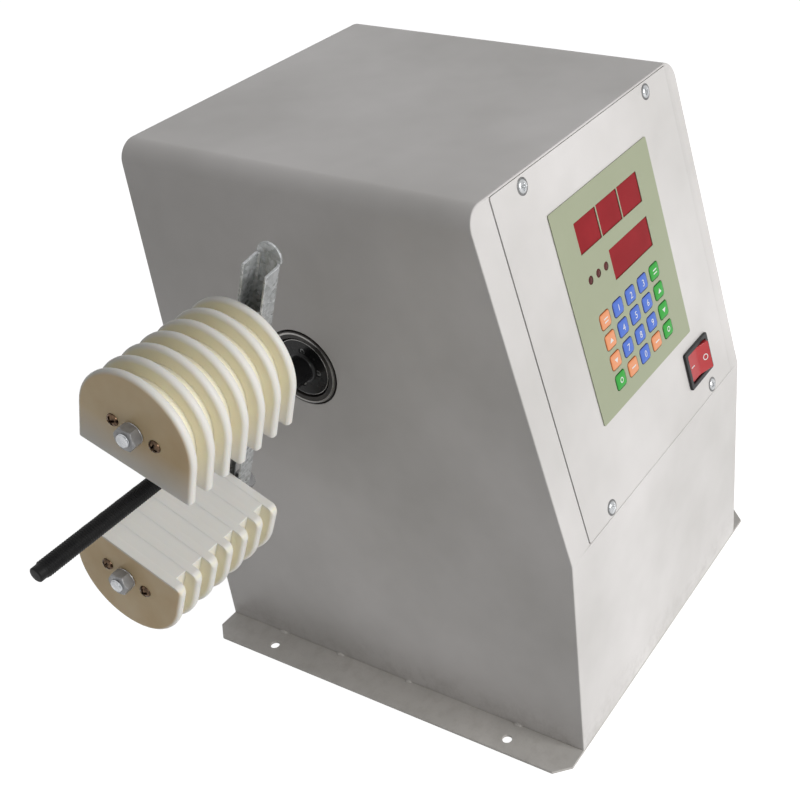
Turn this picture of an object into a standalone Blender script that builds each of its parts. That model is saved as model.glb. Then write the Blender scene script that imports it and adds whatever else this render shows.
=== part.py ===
# Benchtop coil winding machine. A folded steel housing with a sloping control panel holds a
# belt-driven spindle. Outside, the spindle turns a channel rail with two half-round grooved
# formers, which slide along the rail to set the size of the coil.
# Metres, +Z up. The operator sits at -Y and the coil is wound on the -X side. The origin is the
# centre of the base plate's underside.

import math

import bmesh
import bpy
from mathutils import Matrix, Vector

# Clearances and joins
GAP = 0.0003                  # between pieces that touch
OVERRUN = 0.002               # how far a cutter runs past the face it cuts
WELD = 0.0004                 # how deep one fused shape sinks into the next
SMOOTH_ANGLE = math.radians(32)

# Housing
HOUSING_WIDTH = 0.250
HOUSING_DEPTH = 0.300
HOUSING_HEIGHT = 0.378
CREASE_HEIGHT = 0.157         # where the upright front turns into the slope
TOP_SETBACK = 0.051           # how far back the slope ends at the top
SHEET = 0.0015
TOP_BEND = 0.013              # outer radius of the two long top edges
FRONT_BEND = 0.002            # outer radius of the crease and of the top front edge
REAR_RETURN = 0.014           # flange that the rear panel is screwed to

# Base plate
BASE_THICKNESS = 0.002
FLANGE_WIDTH = 0.025
FLANGE_CHAMFER = 0.010
CHAMFER_STEPS = 1             # a corner cut straight across
FLANGE_HOLE = 0.0066
FLANGE_HOLE_INSET = 0.011     # from the flange's outer edge
FLANGE_HOLE_END = 0.0505      # from the flange's ends

# Control panel. Places and widths across are shares of the housing's width, from the winding
# side. Places and heights down the slope are shares of its length, from the top front edge
PANEL_LEFT_SHARE = 0.0904
PANEL_RIGHT_STRIP_SHARE = 0.05
PANEL_TOP = 0.0020
PANEL_FOOT_STRIP = 0.0013     # between the panel and the crease
PANEL_THICKNESS = 0.002
PANEL_CORNER = 0.0015
LIP_WIDTH = 0.012             # the ledge in the housing that the panel is screwed to
PANEL_SCREW_X_SHARES = (0.216, 0.828)
PANEL_SCREW_S_SHARES = (0.0353, 0.9678)
PANEL_SCREW_HOLE = 0.0044

# Keypad overlay and keys
OVERLAY_LEFT_SHARE = 0.274
OVERLAY_RIGHT_SHARE = 0.772
OVERLAY_TOP_SHARE = 0.1411
OVERLAY_BOTTOM_SHARE = 0.7539
OVERLAY_THICKNESS = 0.0005
OVERLAY_CORNER = 0.0015
KEY_COLUMNS = 5
KEY_ROWS = 4
KEY_FIRST_X_SHARE = 0.3916
KEY_FIRST_S_SHARE = 0.4982
KEY_PITCH_X_SHARE = 0.0676
KEY_PITCH_S_SHARE = 0.06129
KEY_WIDTH_SHARE = 0.0496
KEY_HEIGHT_SHARE = 0.04585
KEY_CORNER = 0.0025
KEY_CORNER_STEPS = 1
KEY_PROUD = 0.0007            # above the overlay
KEY_EDGE_ROUND = 0.0005
KEY_SKIRT = 0.0009            # step that holds the key under the overlay
KEY_SKIRT_DEPTH = 0.0010
KEY_STEM_RADIUS = 0.0018
KEY_TRAVEL = 0.0004
KEY_FIELD_MARGIN = 0.0009     # between the skirts and the panel's opening

# Display
WINDOW_WIDTH_SHARE = 0.1016
WINDOW_HEIGHT_SHARE = 0.08553
WINDOW_FIRST_X_SHARE = 0.416
WINDOW_PITCH_SHARE = 0.1092
WINDOW_COUNT = 3
WINDOW_S_SHARE = 0.2513
WIDE_WINDOW_WIDTH_SHARE = 0.2036
WIDE_WINDOW_X_SHARE = 0.5844
WIDE_WINDOW_S_SHARE = 0.3851
LAMP_X_SHARES = (0.376, 0.4148, 0.454)
LAMP_S_SHARE = 0.3726
LAMP_RADIUS = 0.0025
DISPLAY_MARGIN = 0.0025       # between the windows and the panel's opening
BOARD_THICKNESS = 0.0016
BOARD_DEPTH = 0.012           # from the panel's face to the board's face
BOARD_MARGIN = 0.010          # the board beyond the openings
STANDOFF_RADIUS = 0.003
STANDOFF_INSET = 0.004
TACT_SIZE = 0.006
TACT_HEIGHT = 0.0035
TACT_BUTTON_RADIUS = 0.00175

# Power switch
SWITCH_X_SHARE = 0.777
SWITCH_S_SHARE = 0.85866
BEZEL_WIDTH_SHARE = 0.14
BEZEL_HEIGHT_SHARE = 0.12125
BEZEL_RIM = 0.0018
BEZEL_CORNER = 0.0015
SWITCH_BODY_WIDTH_SHARE = 0.1224
SWITCH_BODY_HEIGHT_SHARE = 0.10405
SWITCH_BODY_DEPTH = 0.022
ROCKER_RADIUS_SHARE = 0.0544  # swing of the rocker's ends about its pivot
ROCKER_HEIGHT_SHARE = 0.08994  # along the pivot
ROCKER_PIVOT_DEPTH = 0.0030   # pivot below the panel's face
ROCKER_TILT = math.radians(11)
ROCKER_UPPER = math.radians(27)
ROCKER_LOWER = math.radians(22)
ROCKER_VALLEY = 0.0042
ROCKER_KEEL = 0.0056
ROCKER_PIN_RADIUS = 0.0012
ROCKER_PIN_LENGTH = 0.0010
WELL_DEPTH = 0.013

# Spindle and its bearing block, measured from the winding side's outer face into the housing
SPINDLE_Y = 0.1843            # behind the upright front
SPINDLE_HEIGHT = 0.249        # above the base plate
NOSE_RADIUS = 0.0252
NOSE_BORE_RADIUS = 0.0207
NOSE_CLEAR = 0.0012           # between the nose and the hole in the housing
NOSE_PROUD = 0.0008
BLOCK_FLANGE = 0.090
BLOCK_FLANGE_THICKNESS = 0.008
BLOCK_RADIUS = 0.034
BLOCK_LENGTH_SHARE = 0.32     # of the housing's width, as are the places further in
BLOCK_STUD_OFFSET = 0.036
BLOCK_STUD_RADIUS = 0.003
BLOCK_STUD_END = 0.004
BEARING_RADIUS = 0.026
BEARING_WIDTH = 0.015
BEARING_RING = 0.004          # width of each ring's face beside the shield
BEARING_SHIELD_RECESS = 0.0008
BEARING_SHOULDER = 0.0102     # front bearing's seat in the block
SHAFT_RADIUS = 0.0125
SHAFT_END_SHARE = 0.448
HUB_RADIUS = 0.0195
HUB_CHAMFER = 0.0007
HUB_FACE = 0.0003             # inside the wall's outer face by this much
HUB_THICKNESS = 0.007
HUB_COLLAR_RADIUS = 0.016
HUB_BOLT_RADIUS = 0.0116
HUB_BOLT_TURN = math.radians(-12)  # of the first bolt, from the rail's cross direction
HUB_BOLT_HOLE = 0.0046
HUB_BOLT_DEPTH = 0.0028
HUB_BOLT_COUNT = 4
ARBOR_RADIUS = 0.0085
ARBOR_FILLET = 0.002
ROUND_STEPS = 24
INNER_STEPS = 18              # sides of round pieces inside the housing
SMALL_STEPS = 8               # sides of a small hole or stud
STEM_STEPS = 4

# Winding head. Its turn is measured about the spindle, from upright towards the operator
HEAD_TURN = math.radians(20.1)
RAIL_WEB = 0.0505             # from the winding side to the web's outer face
RAIL_EDGE = 0.0621            # from the winding side to the flanges' free edges
RAIL_SHEET = 0.0015
RAIL_HALF_WIDTH = 0.0083
RAIL_HALF_LENGTH = 0.1155
RAIL_BEND = 0.0018            # inner radius
TONGUE_INSET = 0.0008         # how much narrower the tongue is on each side
SLOT_INNER = 0.014
SLOT_OUTER = 0.076
ROD_RADIUS = 0.005
ROD_NECK_RADIUS = 0.004
ROD_NECK_LENGTH = 0.024
ROD_END = 0.213
ROD_TIP = 0.0018
STUD_RADIUS = 0.004
STUD_PROUD = 0.0015
NUT_ACROSS = 0.013
NUT_HEIGHT = 0.0065
NUT_SIDES = 6
WASHER_RADIUS = 0.0066
WASHER_THICKNESS = 0.0006

# Formers
FORMER_FACE = 0.147           # from the winding side to the front plate's face
FORMER_REAR = 0.0624          # from the winding side to the last plate's rear face
FORMER_GROOVES = 6
PLATE_THICKNESS = 0.0054
PLATE_RIM_ROUND = 0.0012
PLATE_FLAT_ROUND = 0.0004
GROOVE_DEPTH = 0.009
SPACER_FLAT_INSET = 0.0008
ARC_STEPS = 16
CORNER_STEPS = 3
FORMER_CORNER_STEPS = 4
SCREW_HOLE = 0.0043
SCREW_OFFSET = 0.014
UPPER_STUD = 0.0537           # from the spindle's axis, along the rail
UPPER_HALF_WIDTH = 0.0384
UPPER_STRAIGHT = 0.0247
UPPER_FLAT_DROP = 0.0276      # from the stud to the flat side
UPPER_CORNER = 0.0008
UPPER_SKEW = math.radians(-1.6)
LOWER_STUD = 0.0662
LOWER_HALF_WIDTH = 0.0384
LOWER_STRAIGHT = 0.0209
LOWER_FLAT_DROP = 0.0212
LOWER_NEAR_CORNER = 0.0055    # on the operator's side
LOWER_FAR_CORNER = 0.017
LOWER_SKEW = math.radians(2.4)

# Belt drive
PULLEY_PLANE_SHARE = 0.384    # from the winding side to the belt's middle
SPINDLE_PITCH_RADIUS = 0.040
MOTOR_PITCH_RADIUS = 0.016
MOTOR_DROP = 0.170            # motor axis below the spindle
BELT_PITCH_WIDTH = 0.0085
BELT_ABOVE_PITCH = 0.0020
BELT_BELOW_PITCH = 0.0040
BELT_ANGLE = math.radians(19)
BELT_BIG_STEPS = 22
BELT_SMALL_STEPS = 12
PULLEY_ABOVE_PITCH = 0.0025
PULLEY_BELOW_PITCH = 0.0060
PULLEY_WIDTH = 0.018
PULLEY_RIM = 0.004            # metal under the groove
PULLEY_WEB = 0.006
PULLEY_HUB_RADIUS = 0.020
PULLEY_HUB_WIDTH = 0.026
MOTOR_RADIUS = 0.042
MOTOR_LENGTH_SHARE = 0.488
MOTOR_BELL = 0.022            # length of each end bell
MOTOR_BELL_STEP = 0.003
MOTOR_BOSS_RADIUS = 0.0195
MOTOR_BOSS_HEIGHT = 0.003
MOTOR_BORE_DEPTH = 0.022
MOTOR_SHAFT_RADIUS = 0.006
MOTOR_PULLEY_HUB = 0.005
BRACKET_THICKNESS = 0.004
BRACKET_HALF_WIDTH = 0.050
BRACKET_ABOVE_AXIS = 0.050
BRACKET_FOOT = 0.070
BRACKET_BOLT_RADIUS = 0.032
BRACKET_BOLT_HOLE = 0.0055
BRACKET_BOLT_COUNT = 4
BRACKET_CLEAR = 0.004         # between the motor pulley and the bracket

# Mains transformer
CORE_WIDTH_SHARE = 0.264
CORE_DEPTH = 0.030
CORE_HEIGHT = 0.056
COIL_WIDTH_SHARE = 0.168
COIL_DEPTH = 0.050
COIL_HEIGHT = 0.034
TRANSFORMER_X_SHARE = 0.14    # from the winding side
TRANSFORMER_Y = 0.035         # from the front
TRANSFORMER_FOOT = 0.0015
TRANSFORMER_FOOT_LENGTH_SHARE = 0.352

# Motor control board
CONTROL_X_SHARE = 0.52
CONTROL_Y = 0.025
CONTROL_WIDTH_SHARE = 0.38
CONTROL_DEPTH = 0.085
CONTROL_LEGS = 0.010
CONTROL_LEG_RADIUS = 0.003
CONTROL_LEG_INSET = 0.006
SINK_WIDTH = 0.060
SINK_DEPTH = 0.022
SINK_HEIGHT = 0.030
SINK_FINS = 4
SINK_FIN_GAP = 0.003
SINK_FLOOR = 0.004
SINK_INSET = 0.008
RELAY_WIDTH = 0.018
RELAY_DEPTH = 0.015
RELAY_HEIGHT = 0.016
CAPACITOR_RADIUS = 0.011
CAPACITOR_HEIGHT = 0.032
CONTROL_PART_INSET = 0.018

# Rear panel with its sockets
REAR_PANEL_MARGIN = 0.004
VENT_COUNT = 10
VENT_WIDTH = 0.005
VENT_LENGTH = 0.050
VENT_PITCH = 0.012
VENT_END_STEPS = 2
VENT_DROP = 0.110             # middle of the slots below the housing's top
INLET_X_SHARE = 0.784
INLET_HEIGHT = 0.045
INLET_BODY_WIDTH = 0.0275
INLET_BODY_HEIGHT = 0.020
INLET_BODY_DEPTH = 0.022
INLET_FLANGE_WIDTH = 0.050
INLET_FLANGE_HEIGHT = 0.0245
INLET_FLANGE_THICKNESS = 0.0028
INLET_WELL_WIDTH = 0.0235
INLET_WELL_HEIGHT = 0.0160
INLET_WELL_DEPTH = 0.016
INLET_WELL_CORNER = 0.0045
INLET_CORNER = 0.002
INLET_PIN_WIDTH = 0.002
INLET_PIN_HEIGHT = 0.004
INLET_PIN_LENGTH = 0.010
INLET_PIN_PITCH = 0.007
INLET_EARTH_RISE = 0.003
PEDAL_X_SHARE = 0.584
PEDAL_RADIUS = 0.0080
PEDAL_DEPTH = 0.016
PEDAL_FLANGE_RADIUS = 0.0110
PEDAL_FLANGE_THICKNESS = 0.0025
PEDAL_WELL_RADIUS = 0.0062
PEDAL_WELL_DEPTH = 0.008
PEDAL_STEPS = 14

# Places that follow from the sizes above
SIDE_X = -HOUSING_WIDTH / 2
FRONT_Y = -HOUSING_DEPTH / 2
REAR_Y = HOUSING_DEPTH / 2
BASE_TOP = BASE_THICKNESS
COVER_FOOT = BASE_TOP + GAP
TOP_Z = BASE_TOP + HOUSING_HEIGHT
CREASE_Z = BASE_TOP + CREASE_HEIGHT
SLOPE_RISE = HOUSING_HEIGHT - CREASE_HEIGHT
SLOPE_LENGTH = math.hypot(SLOPE_RISE, TOP_SETBACK)
SLOPE_ANGLE = math.atan2(SLOPE_RISE, TOP_SETBACK)
PANEL_LEFT = PANEL_LEFT_SHARE * HOUSING_WIDTH
PANEL_RIGHT = HOUSING_WIDTH - PANEL_RIGHT_STRIP_SHARE * HOUSING_WIDTH
PANEL_BOTTOM = SLOPE_LENGTH - PANEL_FOOT_STRIP
PANEL_SCREW_X = [share * HOUSING_WIDTH for share in PANEL_SCREW_X_SHARES]
PANEL_SCREW_S = [share * SLOPE_LENGTH for share in PANEL_SCREW_S_SHARES]
OVERLAY_LEFT = OVERLAY_LEFT_SHARE * HOUSING_WIDTH
OVERLAY_RIGHT = OVERLAY_RIGHT_SHARE * HOUSING_WIDTH
OVERLAY_TOP = OVERLAY_TOP_SHARE * SLOPE_LENGTH
OVERLAY_BOTTOM = OVERLAY_BOTTOM_SHARE * SLOPE_LENGTH
KEY_FIRST_X = KEY_FIRST_X_SHARE * HOUSING_WIDTH
KEY_FIRST_S = KEY_FIRST_S_SHARE * SLOPE_LENGTH
KEY_PITCH_X = KEY_PITCH_X_SHARE * HOUSING_WIDTH
KEY_PITCH_S = KEY_PITCH_S_SHARE * SLOPE_LENGTH
KEY_WIDTH = KEY_WIDTH_SHARE * HOUSING_WIDTH
KEY_HEIGHT = KEY_HEIGHT_SHARE * SLOPE_LENGTH
WINDOW_WIDTH = WINDOW_WIDTH_SHARE * HOUSING_WIDTH
WINDOW_HEIGHT = WINDOW_HEIGHT_SHARE * SLOPE_LENGTH
WINDOW_FIRST_X = WINDOW_FIRST_X_SHARE * HOUSING_WIDTH
WINDOW_PITCH = WINDOW_PITCH_SHARE * HOUSING_WIDTH
WINDOW_S = WINDOW_S_SHARE * SLOPE_LENGTH
WIDE_WINDOW_WIDTH = WIDE_WINDOW_WIDTH_SHARE * HOUSING_WIDTH
WIDE_WINDOW_X = WIDE_WINDOW_X_SHARE * HOUSING_WIDTH
WIDE_WINDOW_S = WIDE_WINDOW_S_SHARE * SLOPE_LENGTH
LAMP_X = [share * HOUSING_WIDTH for share in LAMP_X_SHARES]
LAMP_S = LAMP_S_SHARE * SLOPE_LENGTH
SWITCH_X = SWITCH_X_SHARE * HOUSING_WIDTH
SWITCH_S = SWITCH_S_SHARE * SLOPE_LENGTH
BEZEL_WIDTH = BEZEL_WIDTH_SHARE * HOUSING_WIDTH
BEZEL_HEIGHT = BEZEL_HEIGHT_SHARE * SLOPE_LENGTH
SWITCH_BODY_WIDTH = SWITCH_BODY_WIDTH_SHARE * HOUSING_WIDTH
SWITCH_BODY_HEIGHT = SWITCH_BODY_HEIGHT_SHARE * SLOPE_LENGTH
ROCKER_RADIUS = ROCKER_RADIUS_SHARE * HOUSING_WIDTH
ROCKER_HEIGHT = ROCKER_HEIGHT_SHARE * SLOPE_LENGTH
BLOCK_LENGTH = BLOCK_LENGTH_SHARE * HOUSING_WIDTH
SHAFT_END = SHAFT_END_SHARE * HOUSING_WIDTH
PULLEY_PLANE = PULLEY_PLANE_SHARE * HOUSING_WIDTH
MOTOR_LENGTH = MOTOR_LENGTH_SHARE * HOUSING_WIDTH
CORE_WIDTH = CORE_WIDTH_SHARE * HOUSING_WIDTH
COIL_WIDTH = COIL_WIDTH_SHARE * HOUSING_WIDTH
TRANSFORMER_X = TRANSFORMER_X_SHARE * HOUSING_WIDTH
TRANSFORMER_FOOT_LENGTH = TRANSFORMER_FOOT_LENGTH_SHARE * HOUSING_WIDTH
CONTROL_X = CONTROL_X_SHARE * HOUSING_WIDTH
CONTROL_WIDTH = CONTROL_WIDTH_SHARE * HOUSING_WIDTH
INLET_X = INLET_X_SHARE * HOUSING_WIDTH
PEDAL_X = PEDAL_X_SHARE * HOUSING_WIDTH
AXIS_Y = FRONT_Y + SPINDLE_Y
AXIS_Z = BASE_TOP + SPINDLE_HEIGHT
MOTOR_Z = AXIS_Z - MOTOR_DROP
OVERLAY_UNDER = GAP
OVERLAY_FACE = GAP + OVERLAY_THICKNESS
FORMER_PITCH = (FORMER_FACE - FORMER_REAR - PLATE_THICKNESS) / FORMER_GROOVES
RAIL_BACK = RAIL_WEB - RAIL_SHEET
BRACKET_X = PULLEY_PLANE + PULLEY_WIDTH / 2 + MOTOR_PULLEY_HUB + BRACKET_CLEAR

# Colours as linear values, with roughness and metallic
PAINT = ((0.74, 0.72, 0.68), 0.35, 0.0)
BASE_PAINT = ((0.55, 0.54, 0.52), 0.42, 0.0)
ZINC = ((0.55, 0.56, 0.56), 0.35, 1.0)
STEEL = ((0.60, 0.60, 0.60), 0.30, 1.0)
BLACK_STEEL = ((0.012, 0.012, 0.013), 0.38, 0.6)
IRON = ((0.16, 0.17, 0.18), 0.55, 0.4)
ALUMINIUM = ((0.62, 0.63, 0.65), 0.38, 1.0)
IVORY = ((0.80, 0.74, 0.58), 0.42, 0.0)
RUBBER = ((0.02, 0.02, 0.02), 0.75, 0.0)
BLACK_PLASTIC = ((0.015, 0.015, 0.016), 0.40, 0.0)
OVERLAY_SAGE = ((0.40, 0.44, 0.31), 0.40, 0.0)
FILTER_RED = ((0.30, 0.02, 0.03), 0.15, 0.0)
ROCKER_RED = ((0.62, 0.02, 0.03), 0.22, 0.0)
BOARD_GREEN = ((0.03, 0.16, 0.07), 0.50, 0.0)
COPPER = ((0.55, 0.22, 0.10), 0.40, 0.8)
KEY_BLUE = ((0.08, 0.15, 0.68), 0.28, 0.0)
KEY_GREEN = ((0.05, 0.36, 0.08), 0.28, 0.0)
KEY_ORANGE = ((0.86, 0.30, 0.12), 0.28, 0.0)

# Colour of each key, row by row from the top
KEY_COLOURS = (
    (KEY_ORANGE, KEY_BLUE, KEY_BLUE, KEY_BLUE, KEY_GREEN),
    (KEY_ORANGE, KEY_BLUE, KEY_BLUE, KEY_BLUE, KEY_GREEN),
    (KEY_ORANGE, KEY_BLUE, KEY_BLUE, KEY_BLUE, KEY_GREEN),
    (KEY_GREEN, KEY_ORANGE, KEY_BLUE, KEY_ORANGE, KEY_GREEN),
)


# Scene and object helpers

def clear_scene():
    for thing in list(bpy.data.objects):
        bpy.data.objects.remove(thing, do_unlink=True)


def frame(name, location, turn, parent=None):
    # An empty that carries the pieces of one joint or one sloping face
    empty = bpy.data.objects.new(name, None)
    bpy.context.scene.collection.objects.link(empty)
    empty.location = location
    empty.rotation_euler = (turn, 0, 0)
    empty.parent = parent
    return empty


def piece(name, mesh, look, parent=None, location=(0, 0, 0), turn=(0, 0, 0)):
    # One named sub-part with its own material
    colour, roughness, metallic = look
    material = bpy.data.materials.new(name)
    material.use_nodes = True
    shader = material.node_tree.nodes["Principled BSDF"]
    shader.inputs["Base Color"].default_value = (*colour, 1)
    shader.inputs["Roughness"].default_value = roughness
    shader.inputs["Metallic"].default_value = metallic
    mesh.name = name
    mesh.materials.clear()
    mesh.materials.append(material)
    mesh.shade_smooth()
    mesh.set_sharp_from_angle(angle=SMOOTH_ANGLE)
    thing = bpy.data.objects.new(name, mesh)
    bpy.context.scene.collection.objects.link(thing)
    thing.parent = parent
    thing.location = location
    thing.rotation_euler = turn
    return thing


# Outlines, as lists of two coordinates, counter-clockwise

def rectangle(left, right, low, high):
    return [(left, low), (right, low), (right, high), (left, high)]


def circle(radius, steps, centre=(0, 0)):
    points = []
    for step in range(steps):
        angle = math.tau * (step + 0.5) / steps
        points.append((centre[0] + radius * math.cos(angle), centre[1] + radius * math.sin(angle)))
    return points


def rounded(corners, radii, steps):
    # Replaces each corner that has a radius by an arc
    points = []
    for index, corner in enumerate(corners):
        radius = radii[index]
        here = Vector(corner)
        if radius == 0:
            points.append(tuple(here))
            continue
        back = (Vector(corners[index - 1]) - here).normalized()
        ahead = (Vector(corners[(index + 1) % len(corners)]) - here).normalized()
        half = back.angle(ahead) / 2
        centre = here + (back + ahead).normalized() * (radius / math.sin(half))
        arm = here + back * (radius / math.tan(half)) - centre
        side = 1 if ahead.cross(back) > 0 else -1
        for step in range(steps + 1):
            angle = side * (math.pi - 2 * half) * step / steps
            turned = Matrix.Rotation(angle, 2) @ arm
            points.append(tuple(centre + turned))
    return points


def rounded_rectangle(left, right, low, high, radius, steps):
    return rounded(rectangle(left, right, low, high), (radius,) * 4, steps)


def slot(centre_x, half_width, low, high, steps):
    # A straight slot with round ends, running along the second coordinate
    points = []
    for end, start_angle in ((high - half_width, 0), (low + half_width, math.pi)):
        for step in range(steps + 1):
            angle = start_angle + math.pi * step / steps
            points.append((centre_x + half_width * math.cos(angle), end + half_width * math.sin(angle)))
    return points


def inset_outline(corners, insets):
    # Moves each straight side inwards by its own amount. Side n runs from corner n to the next
    sides = []
    for index, corner in enumerate(corners):
        start = Vector(corner)
        along = (Vector(corners[(index + 1) % len(corners)]) - start).normalized()
        sides.append((start + Vector((-along.y, along.x)) * insets[index], along))
    points = []
    for index, (start, along) in enumerate(sides):
        other_start, other_along = sides[index - 1]
        reach = (other_start - start).cross(other_along) / along.cross(other_along)
        points.append(tuple(start + along * reach))
    return points


# Solids, as closed meshes

def finished(shape):
    bmesh.ops.recalc_face_normals(shape, faces=shape.faces)
    mesh = bpy.data.meshes.new("solid")
    shape.to_mesh(mesh)
    shape.free()
    return mesh


def placed(axis, along, across):
    # Two coordinates of an outline and one along the axis, as a point in space
    if axis == "X":
        return (along, across[0], across[1])
    if axis == "Y":
        return (across[0], along, across[1])
    return (across[0], across[1], along)


def lofted(rings, axis):
    # A solid through outlines of equal length, each given with its place along the axis
    shape = bmesh.new()
    loops = []
    for along, outline in rings:
        loops.append([shape.verts.new(placed(axis, along, point)) for point in outline])
    count = len(loops[0])
    for lower, upper in zip(loops, loops[1:]):
        for index in range(count):
            after = (index + 1) % count
            shape.faces.new((lower[index], lower[after], upper[after], upper[index]))
    shape.faces.new(list(reversed(loops[0])))
    shape.faces.new(loops[-1])
    return finished(shape)


def prism(outline, low, high, axis="Z"):
    return lofted(((low, outline), (high, outline)), axis)


def box(low, high):
    return prism(rectangle(low[0], high[0], low[1], high[1]), low[2], high[2])


def turned(profile, steps=ROUND_STEPS):
    # Spins a closed profile of places along X and radii about the X axis
    shape = bmesh.new()
    verts = [shape.verts.new((along, 0, radius)) for along, radius in profile]
    edges = [shape.edges.new((verts[index - 1], verts[index])) for index in range(len(verts))]
    bmesh.ops.spin(shape, geom=verts + edges, axis=(1, 0, 0), cent=(0, 0, 0), angle=math.tau,
                   steps=steps, use_merge=True)
    bmesh.ops.remove_doubles(shape, verts=shape.verts, dist=GAP / ROUND_STEPS)
    axis_edges = [edge for edge in shape.edges if not edge.link_faces]
    bmesh.ops.delete(shape, geom=axis_edges, context="EDGES")
    return finished(shape)


def moved(mesh, matrix):
    mesh.transform(matrix)
    return mesh


def shifted(mesh, x=0, y=0, z=0):
    return moved(mesh, Matrix.Translation((x, y, z)))


def combined(body, tools, operation):
    # Applies one exact Boolean after another and returns the resulting mesh
    holder = bpy.data.objects.new("holder", body)
    helpers = [holder]
    for mesh in tools:
        helper = bpy.data.objects.new("helper", mesh)
        helpers.append(helper)
        step = holder.modifiers.new("step", "BOOLEAN")
        step.operation = operation
        step.solver = "EXACT"
        step.object = helper
    for helper in helpers:
        bpy.context.scene.collection.objects.link(helper)
    graph = bpy.context.evaluated_depsgraph_get()
    result = bpy.data.meshes.new_from_object(holder.evaluated_get(graph))
    for helper in helpers:
        bpy.data.objects.remove(helper, do_unlink=True)
    return result


def cut(body, tools):
    return combined(body, tools, "DIFFERENCE")


def fused(body, tools):
    return combined(body, tools, "UNION")


def shared(body, tools):
    return combined(body, tools, "INTERSECT")


# Housing

def panel_matrix():
    # From panel coordinates (across, up the slope, outwards) to the machine's own
    corner = Vector((SIDE_X, FRONT_Y + TOP_SETBACK, TOP_Z))
    return Matrix.Translation(corner) @ Matrix.Rotation(SLOPE_ANGLE, 4, "X")


def panel_box(left, right, top, bottom, low, high):
    # A box given by places across and down the slope, and by heights over its face
    return box((left, -bottom, low), (right, -top, high))


def side_outline(inset, foot, rear):
    corners = (
        (FRONT_Y, COVER_FOOT),
        (REAR_Y, COVER_FOOT),
        (REAR_Y, TOP_Z),
        (FRONT_Y + TOP_SETBACK, TOP_Z),
        (FRONT_Y, CREASE_Z),
    )
    inner = inset_outline(corners, (-foot, rear, inset, inset, inset))
    bend = max(FRONT_BEND - inset, GAP)
    return rounded(inner, (0, 0, 0, bend, bend), CORNER_STEPS)


def housing_form(inset, foot, rear):
    # The housing as a solid, moved inwards by inset: the side view and the front view meet
    side = prism(side_outline(inset, foot, rear), SIDE_X - OVERRUN, -SIDE_X + OVERRUN, "X")
    section = rectangle(SIDE_X + inset, -SIDE_X - inset, COVER_FOOT - foot - OVERRUN, TOP_Z - inset)
    bend = TOP_BEND - inset
    front = prism(rounded(section, (0, 0, bend, bend), 2 * CORNER_STEPS),
                  FRONT_Y - OVERRUN, REAR_Y + OVERRUN, "Y")
    return shared(side, [front])


def spindle_cylinder(radius, low, high, steps=ROUND_STEPS):
    # Low and high are measured from the winding side's outer face into the housing
    return prism(circle(radius, steps, (AXIS_Y, AXIS_Z)), SIDE_X + low, SIDE_X + high, "X")


def block_stud_places():
    for side_y in (-1, 1):
        for side_z in (-1, 1):
            yield side_y * BLOCK_STUD_OFFSET, side_z * BLOCK_STUD_OFFSET


def make_cover():
    shell = cut(housing_form(0, 0, 0), [housing_form(SHEET, OVERRUN, SHEET)])

    # Ledge behind the slope that carries the panel
    ledge_under = PANEL_THICKNESS + GAP + SHEET
    block = panel_box(0, HOUSING_WIDTH, -OVERRUN, SLOPE_LENGTH, -ledge_under, OVERRUN)
    ledge = shared(moved(block, panel_matrix()), [housing_form(SHEET - WELD, 0, SHEET - WELD)])
    studs = []
    stud_end = SHEET + GAP + BLOCK_FLANGE_THICKNESS + BLOCK_STUD_END
    for offset_y, offset_z in block_stud_places():
        place = (AXIS_Y + offset_y, AXIS_Z + offset_z)
        outline = circle(BLOCK_STUD_RADIUS, SMALL_STEPS, place)
        studs.append(prism(outline, SIDE_X + SHEET - WELD, SIDE_X + stud_end, "X"))
    shell = fused(shell, [ledge, *studs])

    pocket = panel_box(PANEL_LEFT - GAP, PANEL_RIGHT + GAP, PANEL_TOP - GAP, PANEL_BOTTOM + GAP,
                       -PANEL_THICKNESS - GAP, OVERRUN)
    window = panel_box(PANEL_LEFT + LIP_WIDTH, PANEL_RIGHT - LIP_WIDTH, PANEL_TOP + LIP_WIDTH,
                       PANEL_BOTTOM - LIP_WIDTH, -ledge_under - OVERRUN, OVERRUN)
    tools = [moved(pocket, panel_matrix()), moved(window, panel_matrix())]
    for x in PANEL_SCREW_X:
        for s in PANEL_SCREW_S:
            hole = prism(circle(PANEL_SCREW_HOLE / 2, SMALL_STEPS, (x, -s)), -ledge_under - OVERRUN, 0)
            tools.append(moved(hole, panel_matrix()))
    tools.append(spindle_cylinder(NOSE_RADIUS + NOSE_CLEAR, -OVERRUN, SHEET + OVERRUN))
    tools.append(box((SIDE_X + REAR_RETURN, REAR_Y - SHEET - OVERRUN, COVER_FOOT - OVERRUN),
                     (-SIDE_X - REAR_RETURN, REAR_Y + OVERRUN, TOP_Z - REAR_RETURN)))
    piece("cover", cut(shell, tools), PAINT)


def make_base_plate():
    half_width = HOUSING_WIDTH / 2 + FLANGE_WIDTH
    outline = rounded(rectangle(-half_width, half_width, FRONT_Y, REAR_Y), (FLANGE_CHAMFER,) * 4,
                      CHAMFER_STEPS)
    plate = prism(outline, 0, BASE_THICKNESS)
    holes = []
    for side in (-1, 1):
        for end in (-1, 1):
            place = (side * (half_width - FLANGE_HOLE_INSET), end * (REAR_Y - FLANGE_HOLE_END))
            outline = circle(FLANGE_HOLE / 2, ROUND_STEPS // 2, place)
            holes.append(prism(outline, -OVERRUN, BASE_THICKNESS + OVERRUN))
    piece("base_plate", cut(plate, holes), BASE_PAINT)


# Control panel. Its coordinates run across, up the slope and outwards

def key_places():
    # Row by row from the top
    for row in range(KEY_ROWS):
        for column in range(KEY_COLUMNS):
            yield KEY_FIRST_X + column * KEY_PITCH_X, KEY_FIRST_S + row * KEY_PITCH_S


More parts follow.
